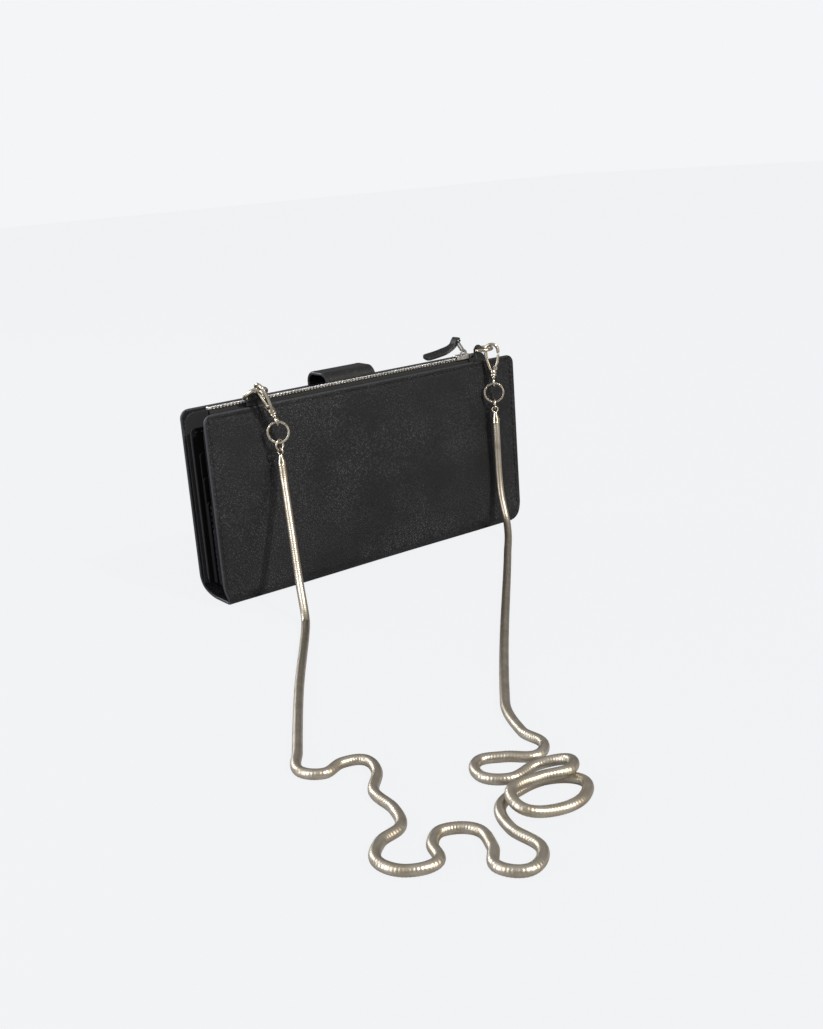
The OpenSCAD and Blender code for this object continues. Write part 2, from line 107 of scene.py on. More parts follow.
def make(name, shape, material, body, nodes=(), smooth=True, ride=True):
    """The object for a Shape or one part: metres, shading, material, body and nodes."""
    if not isinstance(shape, Shape):
        shape = Shape().add(shape)
    mesh = bpy.data.meshes.new(name)
    mesh.from_pydata((np.concatenate(shape.verts) * 0.001).tolist(), [], shape.faces)
    mesh.polygons.foreach_set("use_smooth", [smooth] * len(mesh.polygons))
    rim = mesh.attributes.new("rim", "FLOAT", "POINT")
    rim.data.foreach_set("value", np.concatenate(shape.rims).astype(np.float32))
    mesh.materials.append(material)
    mesh.update()
    obj = bpy.data.objects.new(name, mesh)
    bpy.context.collection.objects.link(obj)
    if ride:
        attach(obj, body)
    if nodes:
        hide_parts(*nodes)
    return obj


def resample(points, step):
    """Points about a step apart along a polyline."""
    points = np.asarray(points, float)
    reach = np.r_[0, np.cumsum(np.linalg.norm(np.diff(points, axis=0), axis=1))]
    at = np.linspace(0, reach[-1], max(2, int(round(reach[-1] / step)) + 1))
    return np.stack([np.interp(at, reach, points[:, k]) for k in range(3)], -1)


def frames(path, closed=False, side=(0, 0, 1)):
    """Tangents and two side directions, carried along the path without twisting."""
    path = np.asarray(path, float)
    if closed:
        tangents = unit(np.roll(path, -1, 0) - np.roll(path, 1, 0))
    else:
        tangents = unit(np.gradient(path, axis=0))
    u = np.asarray(side, float)
    if abs(unit(u) @ tangents[0]) > 0.9:
        u = v3(1, 0, 0) if abs(tangents[0][0]) < 0.9 else v3(0, 1, 0)
    us = np.empty_like(path)
    for i, t in enumerate(tangents):
        u = unit(u - t * (u @ t))
        us[i] = u
    return tangents, us, np.cross(tangents, us)


def tube(path, radius, sides=16, closed=False, squash=1.0, side=(0, 0, 1)):
    """A round wire along a path. radius is one value or one a point; squash flattens
    it across the second side direction. Open ends are rounded over."""
    path = np.asarray(path, float)
    radius = np.broadcast_to(np.asarray(radius, float), (len(path),)).copy()
    if not closed:
        t = unit(np.array([path[1] - path[0], path[-1] - path[-2]]))
        k = np.array([0.0, 0.35, 0.75])
        start = path[0] - t[0] * (radius[0] * np.cos(k * np.pi / 2) * 0.9)[:, None]
        end = path[-1] + t[1] * (radius[-1] * np.cos(k[::-1] * np.pi / 2) * 0.9)[:, None]
        ease = np.maximum(np.sin(k * np.pi / 2), 0.05)
        path = np.concatenate([start, path, end])
        radius = np.r_[radius[0] * ease, radius, radius[-1] * ease[::-1]]
    _, u, w = frames(path, closed, side)
    a = np.arange(sides) * 2 * np.pi / sides
    ring = u[:, None] * np.cos(a)[None, :, None] + squash * w[:, None] * np.sin(a)[None, :, None]
    verts = (path[:, None] + radius[:, None, None] * ring).reshape(-1, 3)
    faces = grid_faces(len(path), sides, closed)
    if not closed:
        faces += [list(range(sides))[::-1], [len(verts) - sides + i for i in range(sides)]]
    return verts, faces


def lathe(profile, sides=40):
    """A turned solid about Z from (radius, height) pairs that start and end near the axis."""
    profile = np.asarray(profile, float)
    a = np.arange(sides) * 2 * np.pi / sides
    r, z = profile[:, 0][:, None], profile[:, 1][:, None]
    verts = np.stack([r * np.cos(a), r * np.sin(a), z + 0 * a], -1).reshape(-1, 3)
    faces = grid_faces(len(profile), sides)
    return verts, faces + [list(range(sides))[::-1], [len(verts) - sides + i for i in range(sides)]]


def rounded_box(size, radius, n=4):
    """A box with rounded edges: a cube's surface points are pulled in by the radius
    and pushed out again along the direction from the inner box."""
    half = np.asarray(size, float) / 2
    radius = min(radius, half.min() * 0.98)
    m = 2 * n
    g = np.r_[-np.ones(1), np.linspace(-1, 1, m + 1)[1:-1], np.ones(1)]
    g = np.sign(g) * np.abs(g) ** 0.6
    index, verts, faces = {}, [], []
    def point(p):
        key = tuple(np.round(p, 6))
        if key not in index:
            index[key] = len(verts)
            verts.append(p)
        return index[key]
    for axis in range(3):
        for sign in (-1, 1):
            ids = []
            for a in g:
                for b in g:
                    p = [0.0, 0.0, 0.0]
                    p[axis], p[(axis + 1) % 3], p[(axis + 2) % 3] = sign, a, b
                    ids.append(point(p))
            for i in range(m):
                for j in range(m):
                    a, b = i * (m + 1) + j, (i + 1) * (m + 1) + j
                    q = [ids[a], ids[b], ids[b + 1], ids[a + 1]]
                    faces.append(q if sign > 0 else q[::-1])
    p = np.array(verts) * half
    inner = np.clip(p, -(half - radius), half - radius)
    return inner + radius * unit(p - inner), faces


def copies(part, matrices, offsets):
    """One part repeated: a 3x3 matrix and an offset for each copy."""
    verts, faces = part[0], part[1]
    n = len(verts)
    all_verts = np.einsum("kij,nj->kni", np.asarray(matrices), verts) + np.asarray(offsets)[:, None]
    quads = np.array([f for f in faces if len(f) == 4])
    others = [f for f in faces if len(f) != 4]
    shift = np.arange(len(offsets)) * n
    all_faces = (quads[None] + shift[:, None, None]).reshape(-1, 4).tolist()
    all_faces += [[i + int(k) for i in f] for k in shift for f in others]
    return all_verts.reshape(-1, 3), all_faces


def ribbon(path, side, width, thick, cols=14, arcs=5, end=0.5, lift=None):
    """A strip of soft material along a path. side is its width's direction, width and
    thick are half sizes, one value or one a point. Its long edges are half round, and
    its two ends are rounded over in the given length. lift(a, s, face) moves points
    along the strip's normal. The rim value is 1 on its edges."""
    path = np.asarray(path, float)
    side = unit(np.asarray(side, float))
    reach = np.r_[0, np.cumsum(np.linalg.norm(np.diff(path, axis=0), axis=1))]
    width = np.broadcast_to(np.asarray(width, float), (len(path),))
    thick = np.broadcast_to(np.asarray(thick, float), (len(path),))
    near = np.clip(np.minimum(reach, reach[-1] - reach) / end, 0, 1)
    ease = np.sqrt(np.maximum(1 - (1 - near) ** 2, 0.02))
    w = width - (1 - ease) * np.minimum(end, width * 0.5)
    h = thick * ease
    tangents = unit(np.gradient(path, axis=0))
    normals = unit(np.cross(tangents, side))
    t = np.sin(np.linspace(-np.pi / 2, np.pi / 2, cols))
    k = np.linspace(0, np.pi, arcs + 2)[1:-1]
    flat = (w - h)[:, None]
    a = np.concatenate(
        [t * flat, flat + h[:, None] * np.sin(k), -t * flat, -flat - h[:, None] * np.sin(k)], 1,
    )
    b = np.concatenate(
        [h[:, None] + 0 * t, h[:, None] * np.cos(k), -h[:, None] + 0 * t, -h[:, None] * np.cos(k)], 1,
    )
    face = np.r_[np.ones(cols), np.zeros(arcs), -np.ones(cols), np.zeros(arcs)]
    if lift is not None:
        b = b + lift(a, reach[:, None] + 0 * a, face[None] + 0 * a)
    verts = path[:, None] + a[..., None] * side + b[..., None] * normals[:, None]
    rim = np.clip(np.where(face[None] == 0, 1.0, 0.0) + 1 - near[:, None], 0, 1)
    rows, ring = a.shape
    faces = grid_faces(rows, ring)
    faces += [list(range(ring))[::-1], [(rows - 1) * ring + i for i in range(ring)]]
    return verts.reshape(-1, 3), faces, (rim + 0 * a).reshape(-1)


def ends_fine(length, fine=0.4, coarse=2.0, zone=5.0):
    """Distances along a strip, close together near both ends."""
    head = np.r_[0, 0.06, 0.15, np.arange(0.3, zone, fine)]
    mid = np.linspace(zone, length - zone, max(2, int((length - 2 * zone) / coarse)))
    return np.unique(np.round(np.r_[head, mid, length - head], 4))


def stitches(line, normal, pitch=3.0, length=2.1, radius=0.3, lift=0.05):
    """A row of thread stitches along a line on a surface: each is a small capsule that
    dips into the leather at both ends."""
    line = np.asarray(line, float)
    at = resample(line, pitch)
    mid = (at[1:] + at[:-1]) / 2
    t = unit(at[1:] - at[:-1])
    n = unit(np.broadcast_to(np.asarray(normal, float), mid.shape))
    n = unit(n - t * np.sum(n * t, 1, keepdims=True))
    b = np.cross(n, t)
    s = np.linspace(-1, 1, 9)
    path = np.stack([s * length / 2, 0 * s, radius * 1.5 * (1 - s**2) - radius * 1.3], -1)
    grain = tube(path, radius * (1 - 0.45 * s**2), 8)
    matrices = np.stack([t, b, n], -1)
    return copies(grain, matrices, mid + n * lift)


# ---------------------------------------------------------------- materials


def hex_colour(text):
    """An sRGB hex colour as the linear RGBA that shaders use."""
    c = np.array([int(text[i : i + 2], 16) for i in (1, 3, 5)]) / 255
    c = np.where(c <= 0.04045, c / 12.92, ((c + 0.055) / 1.055) ** 2.4)
    return (*c.tolist(), 1.0)


def node(tree, kind, inputs=None, **settings):
    """A shader node with its settings, and its inputs set or linked by name or number."""
    n = tree.nodes.new(kind)
    for key, value in settings.items():
        setattr(n, key, value)
    for key, value in (inputs or {}).items():
        if isinstance(value, bpy.types.NodeSocket):
            tree.links.new(value, n.inputs[key])
        else:
            n.inputs[key].default_value = value
    return n


def new_material(name):
    """A material with its shader, its node tree and the coordinates in millimetres."""
    m = bpy.data.materials.new(name)
    m.use_nodes = True
    tree = m.node_tree
    tree.nodes.clear()
    out = tree.nodes.new("ShaderNodeOutputMaterial")
    shader = tree.nodes.new("ShaderNodeBsdfPrincipled")
    tree.links.new(shader.outputs[0], out.inputs[0])
    at = node(tree, "ShaderNodeTexCoord").outputs["Object"]
    mm = node(tree, "ShaderNodeVectorMath", {0: at, 1: (1000, 1000, 1000)}, operation="MULTIPLY").outputs[0]
    return m, tree, shader, mm


def math_node(tree, operation, a, b=0.0, clamp=False):
    """The output of one arithmetic step."""
    return node(tree, "ShaderNodeMath", {0: a, 1: b}, operation=operation, use_clamp=clamp).outputs[0]


def ramp(tree, value, low, high):
    """value mapped so that low gives 0 and high gives 1."""
    return node(tree, "ShaderNodeMapRange", {0: value, 1: low, 2: high}, clamp=True).outputs[0]


def mix_colour(tree, amount, a, b):
    """Colour a, going over to b as amount goes from 0 to 1."""
    n = node(tree, "ShaderNodeMix", data_type="RGBA")
    for socket, value in ((n.inputs[0], amount), (n.inputs[6], a), (n.inputs[7], b)):
        if isinstance(value, bpy.types.NodeSocket):
            tree.links.new(value, socket)
        else:
            socket.default_value = value
    return n.outputs[2]


def noise(tree, mm, scale, detail=2.0):
    """Cloud noise from 0 to 1, with scale features a millimetre."""
    return node(tree, "ShaderNodeTexNoise", {"Vector": mm, "Scale": scale, "Detail": detail}).outputs[0]


def leather(name, colour, painted_glint, edge, hatch=1.1, depth=0.16, rough=0.56, shine=0.3):
    """Pressed cross-hatch leather: two crossed families of fine wavy lines over a
    small pebble, painted glints (a lighter base colour standing for highlights) on the raised grain
    that gather in soft patches, and a smoother painted edge, lightened as a painted highlight."""
    m, tree, shader, mm = new_material(name)
    wobble = node(tree, "ShaderNodeTexNoise", {"Vector": mm, "Scale": 0.3, "Detail": 2.0})
    bent = node(
        tree, "ShaderNodeVectorMath", {0: wobble.outputs["Color"], 1: (2.4, 2.4, 2.4)},
        operation="MULTIPLY",
    ).outputs[0]
    at = node(tree, "ShaderNodeVectorMath", {0: mm, 1: bent}, operation="ADD").outputs[0]
    lines = []
    for direction in ((1, 0.3, 0.9), (-1, -0.3, 0.9)):
        along = node(
            tree, "ShaderNodeVectorMath", {0: at, 1: direction}, operation="DOT_PRODUCT",
        ).outputs["Value"]
        wave = math_node(tree, "SINE", math_node(tree, "MULTIPLY", along, 2 * math.pi / hatch / 1.35))
        lines.append(ramp(tree, wave, -0.8, 0.7))
    cell = math_node(tree, "MULTIPLY", *lines)
    pebble = noise(tree, mm, 1.1, 4.0)
    grain = math_node(
        tree, "ADD", math_node(tree, "MULTIPLY", cell, 0.5), math_node(tree, "MULTIPLY", pebble, 1.0),
    )
    # Painted glints: specks on the raised grain, gathered in soft patches, mix in the lighter glint colour
    # as painted highlights; the patches also vary the leather's own tone at random
    painted_glint_speck = ramp(tree, noise(tree, mm, 1.5, 3.0), 0.48, 0.76)
    patch = ramp(tree, noise(tree, mm, 0.035, 3.0), 0.36, 0.66)
    glow = math_node(
        tree, "MULTIPLY", painted_glint_speck, math_node(tree, "ADD", math_node(tree, "MULTIPLY", cell, 0.65), 0.35),
    )
    glow = math_node(
        tree, "MULTIPLY", glow, math_node(tree, "ADD", math_node(tree, "MULTIPLY", patch, 0.75), 0.2),
    )
    dark = tuple(c * 0.7 for c in colour[:3]) + (1.0,)
    base = mix_colour(tree, patch, dark, colour)
    base = mix_colour(tree, glow, base, painted_glint)
    # The rim takes the edge colour: real edge paint, lightened as a painted highlight along the edge
    rim = node(tree, "ShaderNodeAttribute", attribute_name="rim").outputs["Fac"]
    base = mix_colour(tree, rim, base, edge)
    tree.links.new(base, shader.inputs["Base Color"])
    r = math_node(tree, "ADD", math_node(tree, "MULTIPLY", pebble, 0.25), rough - 0.12)
    tree.links.new(
        math_node(tree, "SUBTRACT", r, math_node(tree, "MULTIPLY", rim, 0.12)),
        shader.inputs["Roughness"],
    )
    shader.inputs["Specular IOR Level"].default_value = shine
    height = math_node(tree, "MULTIPLY", grain, math_node(tree, "SUBTRACT", 1.0, rim))
    bump = node(tree, "ShaderNodeBump", {"Strength": 0.7, "Distance": depth * 0.001, "Height": height})
    tree.links.new(bump.outputs[0], shader.inputs["Normal"])
    return m


def woven(name, colour, light, pitch, rough=0.85):
    """Twill or tape: warp and weft threads crossing, with fibres that catch some light."""
    m, tree, shader, mm = new_material(name)
    parts = node(tree, "ShaderNodeSeparateXYZ", {0: mm}).outputs
    up = math_node(tree, "ADD", parts[2], math_node(tree, "MULTIPLY", parts[1], 0.7))
    slant = math_node(tree, "ADD", parts[0], math_node(tree, "MULTIPLY", up, 0.5))
    warp = math_node(tree, "SINE", math_node(tree, "MULTIPLY", slant, 2 * math.pi / pitch))
    weft = math_node(tree, "SINE", math_node(tree, "MULTIPLY", up, 2 * math.pi / pitch))
    cloth = math_node(tree, "MULTIPLY", ramp(tree, warp, -1, 1), ramp(tree, weft, -1, 1))
    fuzz = noise(tree, mm, 5.0, 3.0)
    both = math_node(tree, "ADD", cloth, math_node(tree, "MULTIPLY", fuzz, 0.4))
    tree.links.new(mix_colour(tree, ramp(tree, both, 0.1, 1.1), colour, light), shader.inputs["Base Color"])
    tree.links.new(
        math_node(tree, "ADD", math_node(tree, "MULTIPLY", fuzz, 0.15), rough - 0.08),
        shader.inputs["Roughness"],
    )
    shader.inputs["Sheen Weight"].default_value = 0.15
    bump = node(tree, "ShaderNodeBump", {"Strength": 0.7, "Distance": 0.00012, "Height": both})
    tree.links.new(bump.outputs[0], shader.inputs["Normal"])
    return m


def thread(name, colour, light):
    """Twisted sewing thread with a slight wax shine."""
    m, tree, shader, mm = new_material(name)
    along = node(tree, "ShaderNodeVectorMath", {0: mm, 1: (1, 0.4, 1)}, operation="DOT_PRODUCT")
    ply = math_node(tree, "SINE", math_node(tree, "MULTIPLY", along.outputs["Value"], 2 * math.pi / 0.45))
    # The ply crests get the lighter colour: painted sheen along the twist
    tree.links.new(mix_colour(tree, ramp(tree, ply, -1, 1), colour, light), shader.inputs["Base Color"])
    tree.links.new(
        math_node(tree, "ADD", math_node(tree, "MULTIPLY", noise(tree, mm, 4.0), 0.2), 0.45),
        shader.inputs["Roughness"],
    )
    bump = node(tree, "ShaderNodeBump", {"Strength": 0.5, "Distance": 0.00008, "Height": ply})
    tree.links.new(bump.outputs[0], shader.inputs["Normal"])
    return m


def plated(name, colour, worn, rough=0.2, scale=0.9):
    """Nickel plate: soft tone changes, fine polishing marks and duller worn patches."""
    m, tree, shader, mm = new_material(name)
    patch = noise(tree, mm, scale * 0.25, 3.0)
    fine = noise(tree, mm, scale * 3.5, 3.0)
    tree.links.new(
        mix_colour(tree, ramp(tree, patch, 0.35, 0.7), colour, worn), shader.inputs["Base Color"],
    )
    r = math_node(tree, "ADD", math_node(tree, "MULTIPLY", ramp(tree, patch, 0.3, 0.75), 0.12), rough)
    tree.links.new(
        math_node(tree, "ADD", r, math_node(tree, "MULTIPLY", fine, 0.06)), shader.inputs["Roughness"],
    )
    shader.inputs["Metallic"].default_value = 1.0
    bump = node(tree, "ShaderNodeBump", {"Strength": 0.25, "Distance": 0.00003, "Height": fine})
    tree.links.new(bump.outputs[0], shader.inputs["Normal"])
    return m


# Each leather: its own colour, a painted glint colour (painted highlights on the grain), and an edge colour
# lightened as a painted highlight along the edge
# Cover leather: pressed cross-hatch calf
cover_leather = leather(
    "cover_leather", hex_colour("#0e0e10"), hex_colour("#646469"), hex_colour("#343438"),
)
# Trim leather on the tab, puller and ring loops
trim_leather = leather(
    "trim_leather", hex_colour("#111112"), hex_colour("#4c4c50"), hex_colour("#1f1f21"), 0.9, 0.1, 0.5,
    0.3,
)
# Inner leather of the card slots and pocket walls: darker than the cover, with dim painted glints and edges,
# as painted shade inside the wallet
inner_leather = leather(
    "inner_leather", hex_colour("#0c0c0d"), hex_colour("#1f1f21"), hex_colour("#161617"), 1.1, 0.08,
    0.6, 0.12,
)
# Lining twill, near black, darkened partly as painted shade inside the wallet
lining_fabric = woven("lining_fabric", hex_colour("#090909"), hex_colour("#19191a"), 0.8)
# Zip tape
zip_tape = woven("zip_tape", hex_colour("#070708"), hex_colour("#1d1d1f"), 0.8)
# Waxed thread
black_thread = thread("black_thread", hex_colour("#050505"), hex_colour("#161617"))
# Bright nickel zip
zip_metal = plated("zip_metal", hex_colour("#cfcdc8"), hex_colour("#a9a69e"), 0.2, 1.2)
# Warm nickel plate on the hooks and rings
hook_metal = plated("hook_metal", hex_colour("#d8cfbd"), hex_colour("#aba08c"), 0.14)
# Snake-link strap
strap_metal = plated("strap_metal", hex_colour("#cbc3b3"), hex_colour("#aba08d"), 0.3, 0.7)
# Press stud
stud_metal = plated("stud_metal", hex_colour("#b9b7b1"), hex_colour("#8c8a84"), 0.22)
# Springs and pins
spring_metal = plated("spring_metal", hex_colour("#a7a6a3"), hex_colour("#7f7e7b"), 0.3)

# ---------------------------------------------------------------- camera

AZIMUTH, ELEVATION, ROLL = (math.radians(d) for d in (-35.94, 15.99, 4.4))
back = v3(
    math.sin(AZIMUTH) * math.cos(ELEVATION), -math.cos(AZIMUTH) * math.cos(ELEVATION),
    math.sin(ELEVATION),
)
level = v3(math.cos(AZIMUTH), math.sin(AZIMUTH), 0)
down = np.cross(-back, level)
right = math.cos(ROLL) * level + math.sin(ROLL) * down
up = math.sin(ROLL) * level - math.cos(ROLL) * down
camera_data = bpy.data.cameras.new("camera")
camera_data.sensor_fit = "VERTICAL"
camera_data.sensor_height = 36.0
camera_data.lens = 43.73
camera_data.clip_start = 0.01
camera_data.clip_end = 20.0
camera = bpy.data.objects.new("camera", camera_data)
bpy.context.collection.objects.link(camera)
pose = Matrix.Identity(4)
for axis, direction in enumerate((right, up, back)):
    for row in range(3):
        pose[row][axis] = direction[row]
pose.translation = (-0.3529, -0.5249, 0.2029)
camera.matrix_world = pose
bpy.context.scene.camera = camera
bpy.context.scene.view_settings.view_transform = "Standard"

# ---------------------------------------------------------------- snake-link strap

# The strap's radius, one link's length and the route, from the left cap to the right
STRAP_R = 2.0
LINK = 1.12
ROUTE = np.array([
    (-60.4, -19.4, 66), (-61.6, -22.2, 56), (-73.8, -47.2, 18.5), (-81, -61.5, 2),
    (-122, -121, 2), (-153, -169, 2), (-160, -181, 2), (-155, -189, 2), (-146, -187, 2),
    (-139, -191, 2), (-141, -201, 2), (-150, -212, 2), (-152, -226, 2), (-157, -236, 2),
    (-167, -239, 2), (-174, -247, 2), (-171, -257, 2), (-161, -260, 2), (-156, -251, 2),
    (-149, -247, 2), (-141, -254, 2), (-144, -265, 2), (-150, -274, 2), (-144, -282, 2),
    (-134, -276, 2), (-133, -261, 2), (-127, -249, 2), (-116, -245, 2), (-103, -246, 2),
    (-96, -255, 2), (-104, -263, 2), (-116, -263, 2.4), (-125, -258, 4.4), (-122, -249, 6.2),
    (-110, -249, 6.2), (-99, -252, 6.2), (-93, -245, 5), (-100, -237, 2.6), (-112, -237, 2),
    (-118, -229, 2), (-112, -220, 2), (-103, -224, 2), (-95, -231, 2), (-87, -226, 2),
    (-86, -214, 2), (-74, -191, 2), (48, -54, 2), (71, -28, 6), (75.8, -18, 24),
    (75.8, -17.4, 61),
], float)


def along_route(step):
    """The strap's centreline: between two points it is the cubic whose tangents lie
    along the neighbours' chords and are as strong as the stretch is long."""
    last = len(ROUTE) - 1
    chords = unit(np.array([ROUTE[min(i + 1, last)] - ROUTE[max(i - 1, 0)] for i in range(last + 1)]))
    out = []
    for i in range(last):
        a, b = ROUTE[i], ROUTE[i + 1]
        span = np.linalg.norm(b - a)
        t = np.linspace(0, 1, max(2, int(span / step) + 1))[:-1, None]
        out.append(a * (2 * t**3 - 3 * t**2 + 1) + b * (3 * t**2 - 2 * t**3)
                   + chords[i] * span * (t**3 - 2 * t**2 + t) + chords[i + 1] * span * (t**3 - t**2))
    line = np.concatenate([*out, ROUTE[-1:]])
    line[:, 2] = np.maximum(line[:, 2], STRAP_R)
    return resample(line, step)


def snake_strap():
    """A tube whose skin is stepped into overlapping curved links: its radius falls
    slowly along each link and jumps back at the next, and the joints between links
    bow forward at the sides, as a snake's scales do."""
    line = along_route(LINK / 4)
    sides = 18
    _, u, w = frames(line, side=(1, 0, 0))
    a = np.arange(sides) * 2 * np.pi / sides
    s = np.arange(len(line)) * (LINK / 4)
    phase = (s[:, None] / LINK + 0.22 * np.cos(2 * a)[None]) % 1.0
    r = STRAP_R * (1.0 - 0.06 * phase**1.5)
    ring = u[:, None] * np.cos(a)[None, :, None] + w[:, None] * np.sin(a)[None, :, None]
    verts = (line[:, None] + r[..., None] * ring).reshape(-1, 3)
    faces = grid_faces(len(line), sides)
    faces += [list(range(sides))[::-1], [len(verts) - sides + i for i in range(sides)]]
    return (verts, faces), line


strap_part, strap_line = snake_strap()
strap = make("strap", strap_part, strap_metal, "root", ["snake_strap"])

# ---------------------------------------------------------------- covers

HALF_W, HALF_T, COVER_H, CORNER, FOLD_R = 95.0, 12.5, 95.0, 4.6, 7.0
LEATHER = 1.5


def cover_path(offset):
    """The covers' middle line in Y and Z, from the near cover's top edge down, round
    the fold and up the far cover."""
    y, r = HALF_T - offset, FOLD_R - offset
    k = np.linspace(0, np.pi / 2, 14)
    near = [(-y, z) for z in np.linspace(COVER_H, FOLD_R, 90)[:-1]]
    c = HALF_T - FOLD_R
    bend_a = [(-c - r * math.cos(t), FOLD_R - r * math.sin(t)) for t in k]
    flat = [(q, offset) for q in np.linspace(-c, c, 8)[1:-1]]
    bend_b = [(c + r * math.sin(t), FOLD_R - r * math.cos(t)) for t in k]
    far = [(y, z) for z in np.linspace(FOLD_R, COVER_H, 90)[1:]]
    return np.array([(0, *p) for p in near + bend_a + flat + bend_b + far], float)


def at_distances(path, at):
    """The points that lie the given distances along a polyline."""
    reach = np.r_[0, np.cumsum(np.linalg.norm(np.diff(path, axis=0), axis=1))]
    return np.stack([np.interp(at, reach, path[:, k]) for k in range(3)], -1)


def corner_width(z, half, top, radius):
    """Half width of an outline with rounded top corners, at height z."""
    over = np.clip(z - (top - radius), 0, radius)
    return half - radius + np.sqrt(np.maximum(radius**2 - over**2, 0.0))


def groove(distance, inset=2.6, depth=0.24, half=0.55):
    """The channel that a row of stitches pulls into the leather."""
    return -depth * np.exp(-(((distance - inset) / half) ** 2))


mid_path = cover_path(LEATHER / 2)
total = float(np.linalg.norm(np.diff(mid_path, axis=0), axis=1).sum())
cover_line = at_distances(mid_path, ends_fine(total, 0.45, 1.25, 6.0))
cover_half = corner_width(cover_line[:, 2], HALF_W, COVER_H, CORNER)
# The covers narrow a little where they turn into the fold
cover_half = cover_half - 4.6 * np.clip(1 - cover_line[:, 2] / 13, 0, 1) ** 2


def cover_lift(a, s, face):
    """Stitch channel near the free edges on the outside, and a slight give of the leather."""
    edge = np.minimum(HALF_W - np.abs(a), np.minimum(s, total - s))
    give = 0.18 * np.sin(a / 31 + s / 23) * np.sin(a / 47 - s / 17 + 1) * np.clip(edge / 12, 0, 1)
    return np.where(face > 0, groove(edge), 0.0) + np.where(face != 0, give, 0.0)


cover = make(
    "cover",
    ribbon(cover_line, (1, 0, 0), cover_half, LEATHER / 2, cols=170, arcs=5, end=0.7, lift=cover_lift),
    cover_leather, "root", ["near_cover", "spine", "far_cover"], ride=False,
)
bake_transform(cover)


def outline_line(inset, bottom):
    """The seam along the left, top and right edges, inside the cover's outline."""
    w, top, r = HALF_W - inset, COVER_H - inset, max(CORNER - inset, 0.5)
    k = np.linspace(0, np.pi / 2, 8)
    left = [(-w, z) for z in np.linspace(bottom, top - r, 40)]
    corner_a = [(-w + r - r * math.cos(t), top - r + r * math.sin(t)) for t in k[1:]]
    along = [(x, top) for x in np.linspace(-w + r, w - r, 60)[1:-1]]
    corner_b = [(w - r + r * math.sin(t), top - r + r * math.cos(t)) for t in k]
    right_side = [(w, z) for z in np.linspace(top - r, bottom, 40)[1:]]
    return np.array(left + corner_a + along + corner_b + right_side, float)


def cover_seam(y, body, name):
    """The row of stitches round one cover's outside face."""
    xz = outline_line(2.6, 12.0)
    line = np.stack([xz[:, 0], np.full(len(xz), y), xz[:, 1]], -1)
    make(
        name, stitches(line, (0, np.sign(y), 0), 2.9, 1.9, 0.36, 0.0), black_thread, body,
    )


cover_seam(-HALF_T, "root", "near_cover_stitches")
cover_seam(HALF_T, "far_half", "far_cover_stitches")

# ---------------------------------------------------------------- inner sheets


def panel(name, y_low, y_high, inset, bottom, top, radius, material, body, nodes, bead=0.0):
    """A flat sheet between two Y values with rounded top corners, soft edges and,
    where its top is turned in, a crease along it on both faces."""
    length = top - bottom
    z = bottom + ends_fine(length, 0.5, 3.0, 4.0)
    path = np.stack([0 * z, np.full(len(z), (y_low + y_high) / 2), z], -1)
    half = corner_width(z, HALF_W - inset, top, radius)
    thick = (y_high - y_low) / 2

    def lift(a, s, face):
        crease = -0.12 * np.exp(-(((length - s - 2.2) / 0.35) ** 2)) * bead
        return face * crease

    return make(
        name, ribbon(path, (1, 0, 0), half, thick * 0.98, cols=60, arcs=3, end=thick * 1.2, lift=lift),
        material, body, nodes,
    )


near_lining = panel(
    "near_lining_sheet", -11.0, -10.4, 1.5, 8, 93, 6, lining_fabric, "root", ["near_lining"],
)
far_lining = panel(
    "far_lining_sheet", 10.4, 11.0, 1.5, 8, 93, 6, lining_fabric, "far_half", ["far_lining"],
)
panel(
    "pocket_wall_sheet", -6.8, -6.0, 2, 10, 91, 6, inner_leather, "root", ["pocket_wall"],
    1,
)
panel(
    "bill_wall_sheet", 2.9, 3.7, 0.5, 10, 87, 2, inner_leather, "far_half", ["bill_wall"],
    1,
)
for i in range(1, 5):
    y = -6.0 + (i - 1) * 0.9
    panel(
        f"near_card_slot_{i}", y, y + 0.9, 3, 10, 87 - 12 * i, 2, inner_leather, "root",
        [f"near_slot_{i}"], 1,
    )
for i in range(1, 4):
    y = 2.9 - i * 0.9
    panel(
        f"far_card_slot_{i}", y, y + 0.9, 3, 10, 87 - 12 * i, 2, inner_leather, "far_half",
        [f"far_slot_{i}"], 1,
    )

# Thread lines at the ends of the innermost slots and the bill wall's top
for name, y, top, body, n in (
    ("near_slot_stitches", -2.4, 37.5, "root", 1), ("far_slot_stitches", 0.2, 49.5, "far_half", -1),
):
    ends = [np.array([(side * 90.5, y, 12), (side * 90.5, y, top)]) for side in (-1, 1)]
    rows = Shape()
    for line in ends:
        rows.add(stitches(line, (0, n, 0), 3.0, 2.1, 0.22, 0.05))
    make(name, rows, black_thread, body)
line = np.array([(-93, 2.9, 85), (93, 2.9, 85)])
make(
    "bill_wall_stitches", stitches(line, (0, -1, 0), 3.0, 2.1, 0.22, 0.05), black_thread, "far_half",
)

